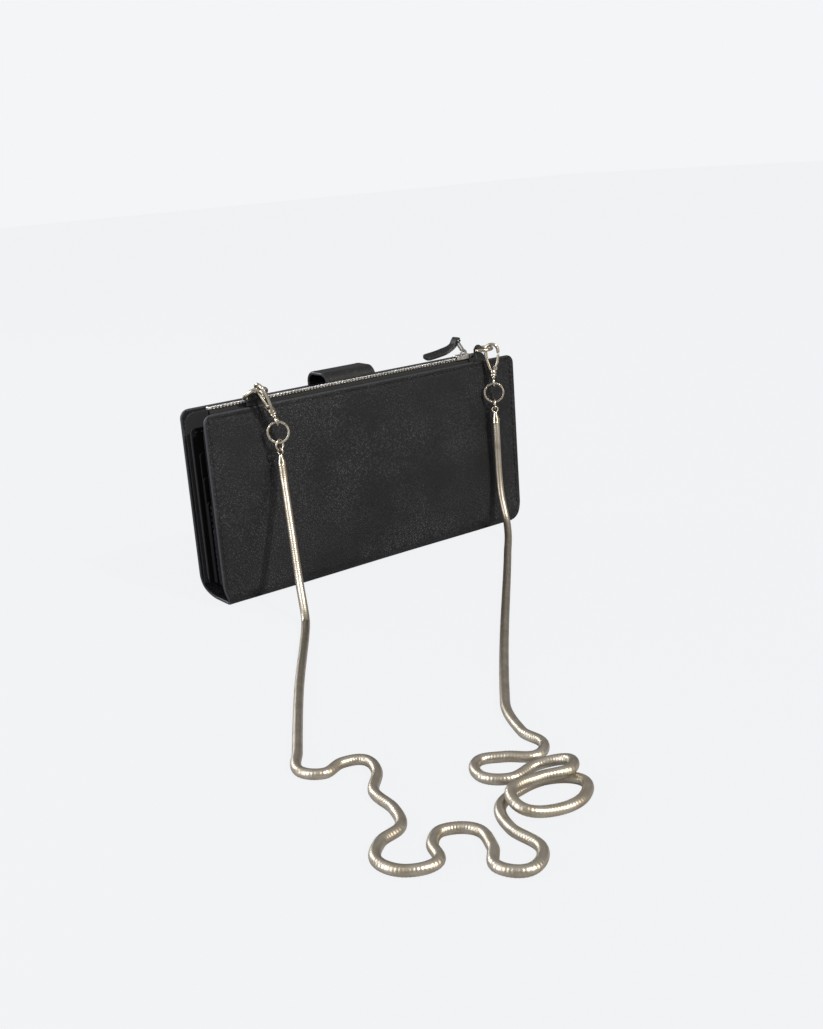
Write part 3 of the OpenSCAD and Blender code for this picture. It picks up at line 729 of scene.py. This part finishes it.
# Folded gussets at the bill compartment's ends, and the coin pocket's edge gusset
gussets = Shape()
for side in (-1, 1):
    pleat = [(91.4, 3.75), (91.9, 5.2), (89.6, 7.05), (91.9, 8.9), (91.4, 10.35)]
    fold = np.array([(side * x, y, 47) for x, y in pleat])
    fine = resample(fold, 0.4)
    smooth = fine.copy()
    for _ in range(6):
        smooth[1:-1] = (smooth[:-2] + 2 * smooth[1:-1] + smooth[2:]) / 4
    gussets.add(ribbon(smooth, (0, 0, 1), 37, 0.22, cols=20, arcs=3, end=0.3))
make("bill_gusset_folds", gussets, lining_fabric, "far_half", ["bill_gussets"])
RIM_X, RIM_TOP, RIM_BOTTOM, RIM_BEND = 92.0, 84.0, 11.0, 2.0
bend = np.linspace(0.2, 1.4, 6)
low_z = RIM_BOTTOM + RIM_BEND
left_bend = [(-RIM_X + RIM_BEND - RIM_BEND * math.cos(t), low_z - RIM_BEND * math.sin(t)) for t in bend]
right_bend = [(RIM_X - RIM_BEND + RIM_BEND * math.sin(t), low_z - RIM_BEND * math.cos(t)) for t in bend]
xz = [(-RIM_X, RIM_TOP), (-RIM_X, 14), *left_bend, (-89, RIM_BOTTOM)]
xz += [(89, RIM_BOTTOM), *right_bend, (RIM_X, 14), (RIM_X, RIM_TOP)]
rim_path = np.array([(x, -8.6, z) for x, z in xz])
make(
    "pocket_gusset", ribbon(resample(rim_path, 1.5), (0, 1, 0), 1.7, 0.6, cols=10, arcs=3, end=0.6),
    lining_fabric, "root", ["pocket_rim"],
)

# ---------------------------------------------------------------- zip

ZIP_Y, TEETH_Z = -8.6, 96.8


def tape(sign):
    """One half of the zip tape: sewn to its wall below, leaning over to the teeth
    above, where a corded edge fills the tooth clamps."""
    wall = 1.5
    yz = np.array(
        [
            (-wall, 86), (-wall, 90), (-wall, 93.2), (-wall + 0.12, 94.6), (-1.05, 95.7), (-0.62, 96.5),
            (-0.5, 97.2),
        ]
    )
    fine = resample(np.stack([0 * yz[:, 0], yz[:, 0], yz[:, 1]], -1), 0.35)
    for _ in range(8):
        fine[1:-1] = (fine[:-2] + 2 * fine[1:-1] + fine[2:]) / 4
    path = fine * v3(1, -sign, 1) + v3(-11.75, ZIP_Y, 0)
    bulge = 0.17 + 0.16 * np.exp(-(((fine[:, 2] - 97.0) / 0.35) ** 2))
    return ribbon(path, (1, 0, 0), 78.2, bulge, cols=80, arcs=3, end=0.2)


make("tape_near", tape(1), zip_tape, "root", ["zip_tape_near"])
make("tape_far", tape(-1), zip_tape, "root", ["zip_tape_far"])

# Teeth: two rows of clamped nickel elements that lock into each other
tooth = Shape()
tooth.add(moved(rounded_box((0.74, 1.15, 1.25), 0.18, 2), None, (0, 0.1, 0.62)))
tooth.add(moved(rounded_box((0.86, 1.2, 0.46), 0.16, 2), None, (0, -0.85, 0.95)))
tooth.add(moved(rounded_box((0.86, 1.2, 0.46), 0.16, 2), None, (0, -0.85, 0.3)))
tooth_part = (np.concatenate(tooth.verts), tooth.faces)
pitch = 1.8
xs = np.arange(-87.6, 66.6, pitch)
rows = Shape()
for sign, start in ((1, 0.0), (-1, pitch / 2)):
    spin = np.diag([1.0, sign, 1.0])
    at = np.stack([xs + start, np.full(len(xs), ZIP_Y), np.full(len(xs), TEETH_Z)], -1)
    rows.add(copies(tooth_part, np.repeat(spin[None], len(xs), 0), at))
make("teeth", rows, zip_metal, "root", ["zip_teeth"])
stops = Shape()
for x in (-89.5, 68.3):
    stops.add(moved(rounded_box((2.2, 2.5, 1.5), 0.45, 4), None, (x, ZIP_Y, TEETH_Z + 0.72)))
make("stops", stops, zip_metal, "root", ["zip_stops"])

# Slider: a waisted plate, two side rails and an arched bridge
slider = Shape()
plate = rounded_box((9.0, 4.6, 1.0), 0.42, 6)
plate[0][:, 1] *= 1 - 0.16 * np.exp(-(((plate[0][:, 0] + 0.6) / 1.7) ** 2))
slider.add(moved(plate, None, (62, ZIP_Y, 99.0)))
for side in (-1, 1):
    rail = rounded_box((8.8, 0.95, 2.0), 0.35, 4)
    slider.add(moved(rail, None, (62, ZIP_Y + side * 1.82, 97.95)))
k = np.linspace(0, np.pi, 16)
arch = np.stack([63.5 - 1.75 * np.cos(k), np.full(16, ZIP_Y), 99.6 + 2.0 * np.sin(k) ** 0.8], -1)
slider.add(tube(arch, 0.5, 14, squash=1.3, side=(0, 0, 1)))
make("slider_body", slider, zip_metal, "slider", ["zip_slider"])

# Bail and leather puller
low, high = v3(63.5, ZIP_Y, 100.7), v3(59.0, ZIP_Y, 107.7)


def bail_loop(half, inner):
    """A rounded wire frame from the bridge's hole up to the puller."""
    ends = [low + v3(0, -half, 0), low + v3(0, half, 0), high + v3(0, half, 0), high + v3(0, -half, 0)]
    points = []
    for i in range(4):
        a, b, c = ends[i - 1], ends[i], ends[(i + 1) % 4]
        p, q = b + unit(a - b) * inner, b + unit(c - b) * inner
        points += [(1 - t) ** 2 * p + 2 * t * (1 - t) * b + t**2 * q for t in np.linspace(0, 1, 7)]
        points += [q + (ends[(i + 1) % 4] + unit(b - c) * inner - q) * t for t in (0.25, 0.5, 0.75)]
    return np.array(points)


make(
    "bail", tube(bail_loop(1.3, 0.7), 0.5, 12, closed=True), zip_metal, "puller", ["puller_link"],
)

puller_turn = turn("Y", -16.5)
loop = [(1.02 * math.cos(t), 1.02 * math.sin(t)) for t in np.linspace(-2.3, 2.3, 24)]
leg_x = np.linspace(-1.5, -22.8, 46)
top_leg = list(zip(leg_x, 0.46 + 0.42 * np.exp((leg_x + 1.5) / 1.6)))


def twisted(part, degrees=24.0):
    """The puller's leather turned about its length and sagging, away from its loop."""
    verts = part[0].copy()
    reach = np.clip(-verts[:, 0] / 23.0, 0, 1)
    t = np.clip((-verts[:, 0] - 2.0) / 9.0, 0, 1)
    a = np.radians(degrees) * t * t * (3 - 2 * t)
    y, z = verts[:, 1].copy(), verts[:, 2].copy()
    verts[:, 1], verts[:, 2] = y * np.cos(a) - z * np.sin(a), y * np.sin(a) + z * np.cos(a)
    verts[:, 2] -= 2.4 * np.sin(np.pi * reach**0.6) * np.clip(reach * 8, 0, 1)
    return (verts, *part[1:])


puller_shape = Shape()
for face in (1, -1):
    xz = top_leg[::-1] + [(x, z) for x, z in loop[::-1][: 12]]
    path = np.array([(x, 0, z * face) for x, z in xz])
    reach = -np.clip(path[:, 0], -23, 0)
    half = np.where(reach > 20.3, np.sqrt(np.maximum(2.5**2 - (reach - 20.3) ** 2, 0.2)), 2.5)
    puller_shape.add(
        moved(twisted(ribbon(path, (0, 1, 0), half, 0.42, cols=16, arcs=4, end=0.4)), puller_turn, high)
    )
make("puller_strip", puller_shape, trim_leather, "puller", ["puller"])
rows = Shape()
for face in (1, -1):
    k = np.linspace(-np.pi / 2, np.pi / 2, 9)
    edge = [(-3.0, -1.75)] + [(-20.4 - 1.75 * math.cos(t), 1.75 * math.sin(t)) for t in k] + [(-3.0, 1.75)]
    line = np.array([(x, y, face * 0.9) for x, y in edge], float)
    rows.add(moved(twisted(stitches(line, (0, 0, face), 2.2, 1.6, 0.19, 0.03)), puller_turn, high))
make("puller_stitches", rows, black_thread, "puller")

# ---------------------------------------------------------------- closing tab

TAB_X, TAB_HALF = -6.0, 15.0
TAB_OUT, TAB_TIP, TAB_TOP, TAB_BEND = 14.6, -4.4, 102.0, 5.7


def tab_line(offset=0.9):
    """The tab's middle line in Y and Z from the hinge on the far cover, over the top
    and down to its tip behind the zip."""
    r = TAB_BEND - offset
    k = np.linspace(0, np.pi / 2, 16)
    out = [(TAB_OUT - offset, z) for z in np.linspace(84, TAB_TOP - TAB_BEND, 16)[:-1]]
    cy, cz = TAB_OUT - TAB_BEND, TAB_TOP - TAB_BEND
    bend_a = [(cy + r * math.cos(t), cz + r * math.sin(t)) for t in k]
    cy = TAB_TIP + TAB_BEND
    bend_b = [(cy - r * math.sin(t), cz + r * math.cos(t)) for t in k]
    tip = [(TAB_TIP + offset, z) for z in np.linspace(cz, 80, 20)[1:]]
    return np.array([(TAB_X, *p) for p in out + bend_a + bend_b + tip], float)


def tab_lift(a, s, face):
    edge = np.minimum(TAB_HALF - np.abs(a), np.abs(s))
    return np.where(face > 0, groove(edge, 2.2, 0.12, 0.4), 0) + np.where(
        face < 0, -groove(edge, 2.2, 0.08, 0.4), 0,
    )


tab_path = resample(tab_line(), 0.5)
reach = np.linspace(0, 1, len(tab_path)) * (len(tab_path) - 1) * 0.5
left_over = reach[-1] - reach
tab_half = np.where(
    left_over < 4, TAB_HALF - 4 + np.sqrt(np.maximum(16 - (4 - left_over) ** 2, 0)), TAB_HALF,
)
make(
    "tab", ribbon(tab_path, (1, 0, 0), tab_half, 0.9, cols=70, arcs=5, end=0.9, lift=tab_lift),
    trim_leather, "closing_tab", ["snap_tab"],
)
rows = Shape()
surface = tab_line(-0.02)
for side in (-1, 1):
    seam = surface[1:-6] + v3(side * (TAB_HALF - 2.2), 0, 0)
    fine = resample(seam, 3.0)
    t = unit(fine[1:] - fine[:-1])
    n = unit(np.cross(t, v3(1, 0, 0)))
    n *= np.sign(np.sum(n * ((fine[1:] + fine[:-1]) / 2 - v3(TAB_X, 5.1, 88)), 1, keepdims=True))
    rows.add(stitches(seam, n, 3.0, 2.1, 0.25, 0.03))
make("tab_stitches", rows, black_thread, "closing_tab")
anchor_z = 44 + ends_fine(38.8, 0.5, 2.0, 4.0)
anchor_path = np.stack([0 * anchor_z + TAB_X, 0 * anchor_z + 13.4, anchor_z], -1)
anchor_half = np.where(
    anchor_z < 48, TAB_HALF - 4 + np.sqrt(np.maximum(16 - (48 - anchor_z) ** 2, 0)), TAB_HALF,
)
make(
    "tab_sewn_end", ribbon(anchor_path, (1, 0, 0), anchor_half, 0.88, cols=50, arcs=4, end=0.9),
    trim_leather, "far_half", ["tab_anchor"],
)
rows = Shape()
w = TAB_HALF - 2.2
box_seam = np.array([(-w, 81), (-w, 46.4), (w, 46.4), (w, 81)])
cross_seam = np.array([(-w, 66), (w, 66)])
for seam in (box_seam, cross_seam):
    line = np.stack([seam[:, 0] + TAB_X, np.full(len(seam), 14.28), seam[:, 1]], -1)
    rows.add(stitches(resample(line, 1.0), (0, 1, 0), 3.0, 2.1, 0.25, 0.03))
make("tab_sewn_stitches", rows, black_thread, "far_half")


def stud(profile, y, direction):
    """A turned press-stud part that points along +Y or -Y."""
    return moved(lathe(profile, 48), turn("X", -90 * direction), (TAB_X, y, 85))


cap_profile = [
    (0.02, 0), (4.6, 0), (4.95, 0.15), (5.0, 0.4), (4.7, 0.72), (3.6, 0.92), (1.6, 1.0), (0.02, 1.0),
]
make("stud_cap", stud(cap_profile, -2.6, 1), stud_metal, "closing_tab", ["snap_cap"])
socket_profile = [
    (0.02, 0), (3.8, 0), (4.0, 0.15), (3.95, 0.45), (3.5, 0.6), (3.1, 0.5), (2.7, 0.68), (2.2, 0.7),
    (1.9, 0.55), (1.85, 0.2), (0.02, 0.2),
]
make(
    "stud_socket", stud(socket_profile, -4.4, -1), stud_metal, "closing_tab", ["snap_socket"],
)
base_profile = [
    (0.02, 0), (3.9, 0), (4.0, 0.1), (3.9, 0.22), (3.2, 0.3), (1.7, 0.24), (1.4, 0.3), (0.02, 0.3),
]
make("stud_base", stud(base_profile, -6.0, 1), stud_metal, "root", ["snap_stud"])

# ---------------------------------------------------------------- rings and hooks

D_BAR, D_SIDE, WIRE = 11.0, 2.0, 0.9
LEFT_D, RIGHT_D = v3(-68, -13.3, 99.6), v3(70.5, -12.1, 101.3)
left_d_turn = turn("X", -37)
right_d_turn = turn("Z", 45)


def d_ring():
    """A D of round wire: a straight bar, two short sides and a half-round bow."""
    b = D_BAR / 2
    k = np.linspace(0, np.pi, 30)
    bow = [(b * math.cos(t), -D_SIDE - b * math.sin(t)) for t in k]
    corner = 0.9
    q = np.linspace(0, np.pi / 2, 6)
    left = [(-b + corner - corner * math.cos(t), -corner + corner * math.sin(t)) for t in q]
    right_c = [(b - corner + corner * math.sin(t), -corner + corner * math.cos(t)) for t in q]
    bar = [(x, 0) for x in np.linspace(-b + corner, b - corner, 10)[1:-1]]
    path = np.array([(x, y, 0) for x, y in bow + left + bar + right_c])
    return tube(path, WIRE, 18, closed=True)


make(
    "left_d", moved(d_ring(), left_d_turn, LEFT_D), hook_metal, "d_ring_left", ["d_ring_left"],
)
make(
    "right_d", moved(d_ring(), right_d_turn, RIGHT_D), hook_metal, "d_ring_right", ["d_ring_right"],
)


def leather_loop(foot):
    """A strip that wraps round the ring's bar and is sewn down behind the cover."""
    k = np.linspace(-1.15 * np.pi, 0.45 * np.pi, 30)
    round_bar = [(0, 1.48 * math.sin(t), 1.48 * math.cos(t)) for t in k]
    legs = [(0, 1.45, z) for z in np.linspace(-0.4, -foot, 12)]
    path = np.array(round_bar + legs, float)
    return ribbon(path, (1, 0, 0), 3.5, 0.48, cols=18, arcs=4, end=0.4)


for side, at, matrix in (("left", LEFT_D, np.eye(3)), ("right", RIGHT_D, right_d_turn)):
    foot = at[2] - COVER_H - 0.1
    make(
        f"{side}_ring_loop", moved(leather_loop(foot), matrix, at), trim_leather, "root",
        [f"d_loop_{side}"],
    )

HOOK_R, LEG_GAP, LEG_END, BARREL_TOP, BARREL_L = 3.3, 1.2, 10.5, 10.0, 3.6
EYE_R, EYE_WIRE, EYE_DROP = 2.1, 0.6, 17.0
SEAT = HOOK_R - WIRE - WIRE - 0.35
PIVOT = v3(LEG_GAP + 0.3, 0, -LEG_END + 1.5)
depth = D_BAR / 2 + D_SIDE
left_axis = v3(math.sin(math.radians(24)), 0, -math.cos(math.radians(24)))
right_axis = v3(0, 0, -1)
left_at = LEFT_D + left_d_turn @ v3(0, -depth, 0) + SEAT * left_axis
right_at = RIGHT_D + right_d_turn @ v3(0, -depth, 0) + SEAT * right_axis
left_turn = turn("Y", -24) @ turn("Z", 90)
right_turn = turn("Z", -45)


def hook_body():
    """A cast hook: a round loop that tapers to its nose, a leg that leans in to the
    barrel, a turned barrel with grooves, and two ears for the gate's pin."""
    k = np.linspace(0, np.pi, 34)
    nose = [(HOOK_R, 0, -0.9), (HOOK_R, 0, -0.45)]
    loop = nose + [(HOOK_R * math.cos(t), 0, HOOK_R * math.sin(t)) for t in k]
    leg = [(-HOOK_R, 0, z) for z in (-0.8, -1.8, -2.6)]
    k = np.linspace(0.06, 1, 12)
    lean = [(-HOOK_R + (HOOK_R - LEG_GAP) * t, 0, -3.4 - (LEG_END - 3.4) * t) for t in k]
    path = np.array(loop + leg + lean)
    for _ in range(2):
        path[1:-1] = (path[:-2] + 2 * path[1:-1] + path[2:]) / 4
    radius = np.r_[np.linspace(0.82, 0.92, len(loop)), np.full(len(leg) + len(lean), 0.92)]
    hook = Shape().add(tube(path, radius, 18))
    b, r = -BARREL_TOP, 1.9
    foot = b - BARREL_L
    profile = [(0.02, foot + 2.4), (0.88, foot + 2.4)]
    profile += [(0.9, foot), (r - 0.25, foot), (r, foot + 0.25), (r, b - 2.7), (r - 0.22, b - 2.55)]
    profile += [(r - 0.22, b - 2.35), (r, b - 2.2), (r, b - 0.9), (r - 0.18, b - 0.75)]
    profile += [(r - 0.18, b - 0.6), (r, b - 0.45), (r - 0.3, b - 0.02), (0.5, b), (0.02, b)]
    hook.add(lathe(profile, 40))
    for side in (-1, 1):
        hook.add(
            moved(rounded_box((1.8, 0.62, 2.3), 0.25, 4), None, (PIVOT[0], side * 1.3, 0.65 - BARREL_TOP))
        )
    return hook


def gate_body():
    """The spring-shut gate: a tapered arm with a rounded top, a heel and a thumb pad."""
    top = v3(HOOK_R, 0, -WIRE - 0.8 - 0.7)
    t = np.linspace(0, 1, 16)[:, None]
    path = PIVOT + (top - PIVOT) * t + v3(0.25, 0, 0) * np.sin(np.pi * t)
    radius = 0.62 + 0.08 * np.sin(np.pi * t[:, 0])
    gate = Shape().add(tube(path, radius, 14))
    gate.add(
        moved(
            lathe([(0.02, -0.78), (0.7, -0.78), (0.84, -0.64), (0.84, 0.64), (0.7, 0.78), (0.02, 0.78)], 28),
            turn("X", 90), PIVOT,
        )
    )
    pad = path[6] + v3(0.55, 0, 0.1)
    gate.add(moved(rounded_box((0.7, 1.1, 1.8), 0.33, 4), turn("Y", 15), pad))
    return gate


def pin_body():
    """A riveted pin with domed heads."""
    return lathe(
        [
            (0.02, -1.72), (0.3, -1.72), (0.42, -1.66), (0.35, -1.6), (0.35, 1.6), (0.42, 1.66),
            (0.3, 1.72), (0.02, 1.72),
        ],
        20,
    )


def spring_body():
    """A small coil spring beside the gate's heel."""
    t = np.linspace(0, 4.5 * 2 * np.pi, 90)
    path = np.stack([0.05 + 0.2 * np.cos(t), 0.2 * np.sin(t), -BARREL_TOP + 0.08 + 1.05 * t / t[-1]], -1)
    return tube(path, 0.055, 8)


def swivel_body(eye_turn):
    """The turning eye: a ring of wire on a collared stem."""
    k = np.linspace(0, 2 * np.pi, 44, endpoint=False)
    ring = np.stack([EYE_R * np.cos(k), 0 * k, EYE_R * np.sin(k)], -1) @ turn("Z", eye_turn).T
    eye = Shape().add(moved(tube(ring, EYE_WIRE, 16, closed=True), None, (0, 0, -EYE_DROP)))
    z0, z1 = -EYE_DROP + EYE_R, -BARREL_TOP - 1.4
    eye.add(
        lathe(
            [
                (0.02, z0 - 0.1), (0.85, z0), (1.15, z0 + 0.35), (1.15, z0 + 0.7), (0.78, z0 + 0.95),
                (0.78, z1 - 0.1), (0.7, z1), (0.02, z1),
            ],
            32,
        )
    )
    return eye


def shifted(shape, matrix, offset):
    """Every part of a Shape turned and then shifted."""
    out = Shape()
    out.verts = [v @ np.asarray(matrix).T + offset for v in shape.verts]
    out.faces, out.rims, out.count = shape.faces, shape.rims, shape.count
    return out


EYE_TURNS = {"left": -34, "right": 99}
hooks = {"left": (left_turn, left_at, left_axis), "right": (right_turn, right_at, right_axis)}
eyes = {}
for side, (matrix, at, axis) in hooks.items():
    make(
        f"{side}_hook", shifted(hook_body(), matrix, at), hook_metal, "root", [f"hook_{side}"],
    )
    make(
        f"{side}_gate", shifted(gate_body(), matrix, at), hook_metal, f"gate_{side}", [f"gate_{side}"],
    )
    pin = moved(moved(pin_body(), turn("X", 90), PIVOT), matrix, at)
    make(f"{side}_gate_pin", pin, spring_metal, "root", [f"gate_pin_{side}"])
    make(
        f"{side}_gate_spring", moved(spring_body(), matrix, at), spring_metal, "root",
        [f"gate_spring_{side}"],
    )
    make(
        f"{side}_swivel", shifted(swivel_body(EYE_TURNS[side]), matrix, at), hook_metal,
        f"swivel_{side}", [f"swivel_{side}"],
    )
    eyes[side] = at + EYE_DROP * axis

SPLIT_R, JUMP_R = 5.0, 2.6
seat = EYE_R - EYE_WIRE - 0.5 - 0.35
face = (turn("Y", -24) @ turn("Z", 90) @ turn("Z", -34)) @ v3(0, 1, 0)
lowest = unit(v3(0, 0, -1) - face * (v3(0, 0, -1) @ face))
split_at = {
    "left": eyes["left"] + seat * lowest - v3(0, 0, SPLIT_R),
    "right": eyes["right"] - v3(0, 0, seat + SPLIT_R),
}
jump_drop = SPLIT_R + (JUMP_R - 0.5 - 0.5 - 0.35)
cap_drop = jump_drop + JUMP_R + (1.5 - 0.45 - 0.5 - 0.1)
JUMP_TURNS = {"left": 20, "right": 54}


def split_ring():
    """Two turns of flat wire pressed together, as in a key ring: the coil steps
    across by one thickness at the place where both ends stop."""
    coil = Shape()
    for step, start in ((-0.4, 0.25), (0.4, -0.25)):
        t = np.linspace(start, start + 2 * np.pi - 0.16, 80)
        path = np.stack([SPLIT_R * np.cos(t + 2.2), 0 * t + step, SPLIT_R * np.sin(t + 2.2)], -1)
        radial = unit(path * v3(1, 0, 1))
        k = np.arange(12) * 2 * np.pi / 12
        a = 0.5 * np.sign(np.cos(k)) * np.abs(np.cos(k)) ** 0.55
        b = 0.37 * np.sign(np.sin(k)) * np.abs(np.sin(k)) ** 0.55
        verts = (
            path[:, None] + radial[:, None] * a[None, :, None] + v3(0, 1, 0) * b[None, :, None]
        ).reshape(-1, 3)
        faces = grid_faces(len(path), 12) + [
            list(range(12))[::-1], [len(verts) - 12 + i for i in range(12)],
        ]
        coil.add((verts, faces))
    return coil


def wire_circle(mean, wire, gap=0.0, count=48):
    """A ring of round wire, closed unless gap opens a hair gap where its ends meet."""
    k = np.linspace(gap / 2, 2 * np.pi - gap / 2, count, endpoint=gap > 0)
    path = np.stack([mean * np.cos(k + 0.7), 0 * k, mean * np.sin(k + 0.7)], -1)
    return tube(path, wire, 14, closed=gap == 0)


for side in ("left", "right"):
    at = split_at[side]
    make(
        f"{side}_split_ring", shifted(split_ring(), turn("Z", -36), at), hook_metal,
        f"split_ring_{side}", [f"split_ring_{side}"],
    )
    make(
        f"{side}_jump_ring",
        moved(wire_circle(JUMP_R, 0.5), turn("Z", JUMP_TURNS[side]), at - v3(0, 0, jump_drop)),
        hook_metal, f"jump_ring_{side}", [f"jump_ring_{side}"],
    )
    top = at - v3(0, 0, cap_drop)
    end_z = ROUTE[0][2] if side == "left" else ROUTE[-1][2]
    length = top[2] - 1.5 - end_z
    cap = Shape().add(moved(wire_circle(1.5, 0.45), turn("Z", JUMP_TURNS[side] + 90)))
    z = -1.5
    profile = [(0.02, z + 0.25), (0.7, z + 0.2), (0.95, z - 0.15), (1.25, z - 0.8)]
    profile += [(1.6, z - 1.8), (1.95, z - 2.9), (2.12, z - 3.8), (2.14, z - length + 0.5)]
    profile += [(2.3, z - length + 0.35), (2.3, z - length + 0.1), (2.2, z - length), (0.02, z - length)]
    cap.add(lathe(profile, 36))
    make(
            f"{side}_end_cap", shifted(cap, np.eye(3), top), hook_metal, "root", [f"end_cap_{side}"],
        )

# ---------------------------------------------------------------- floor and light

paper = hex_colour("#f4f5f7")
floor_material = bpy.data.materials.new("floor_paper")
floor_material.use_nodes = True
tree = floor_material.node_tree
tree.nodes.clear()
ray = node(tree, "ShaderNodeLightPath").outputs["Is Camera Ray"]
diffuse = node(tree, "ShaderNodeBsdfDiffuse", {"Color": hex_colour("#a9aaad")})
glow = node(tree, "ShaderNodeEmission", {"Color": paper, "Strength": 1.0})
both = node(
    tree, "ShaderNodeMixShader",
    {0: math_node(tree, "MULTIPLY", ray, 0.95), 1: diffuse.outputs[0], 2: glow.outputs[0]},
)
node(tree, "ShaderNodeOutputMaterial", {0: both.outputs[0]})
floor_mesh = bpy.data.meshes.new("floor")
k = np.linspace(-1, 1, 9) * 6.0
quads = [(r * 9 + c, r * 9 + c + 1, r * 9 + c + 10, r * 9 + c + 9) for r in range(8) for c in range(8)]
floor_mesh.from_pydata([(x, y, 0) for y in k for x in k], [], quads)
floor_mesh.materials.append(floor_material)
floor = bpy.data.objects.new("floor", floor_mesh)
bpy.context.collection.objects.link(floor)

world = bpy.data.worlds.new("studio")
bpy.context.scene.world = world
world.use_nodes = True
tree = world.node_tree
tree.nodes.clear()
at = node(tree, "ShaderNodeTexCoord").outputs["Generated"]
height = ramp(tree, node(tree, "ShaderNodeSeparateXYZ", {0: at}).outputs[2], -0.1, 0.9)
sky = mix_colour(tree, height, hex_colour("#5c5c5e"), hex_colour("#b4b4b6"))
ray = node(tree, "ShaderNodeLightPath").outputs["Is Camera Ray"]
background = node(
    tree, "ShaderNodeBackground", {"Color": mix_colour(tree, ray, sky, paper), "Strength": 1.0},
)
node(tree, "ShaderNodeOutputWorld", {0: background.outputs[0]})


def area_light(name, at, toward, size, power, colour="#ffffff"):
    data = bpy.data.lights.new(name, "AREA")
    data.shape = "RECTANGLE"
    data.size, data.size_y = size
    data.energy = power
    data.color = hex_colour(colour)[:3]
    light = bpy.data.objects.new(name, data)
    bpy.context.collection.objects.link(light)
    z = unit(v3(*at) - v3(*toward))
    x = unit(np.cross(v3(0, 0, 1), z))
    m = Matrix.Identity(4)
    for i, d in enumerate((x, np.cross(z, x), z)):
        for row in range(3):
            m[row][i] = d[row]
    m.translation = at
    light.matrix_world = m
    return light


sun = bpy.data.lights.new("key", "SUN")
sun.energy, sun.angle, sun.color = 2.6, math.radians(3.0), hex_colour("#fffcf6")[:3]
key = bpy.data.objects.new("key", sun)
bpy.context.collection.objects.link(key)
z = unit(v3(0.16, -1.0, 0.85))
x = unit(np.cross(v3(0, 0, 1), z))
key.matrix_world = Matrix(np.stack([x, np.cross(z, x), z], 1).tolist()).to_4x4()
area_light("left_strip", (-0.75, -0.1, 0.25), (0, -0.1, 0.05), (0.3, 0.9), 5, "#f4f7ff")
area_light("front_soft", (0.35, -1.1, 0.3), (0, -0.1, 0.05), (0.35, 0.5), 3, "#fff3e2")
area_light("back_soft", (-0.5, 1.1, 0.6), (0, 0, 0.05), (0.6, 0.6), 9, "#f6f8ff")

bpy.context.view_layer.update()
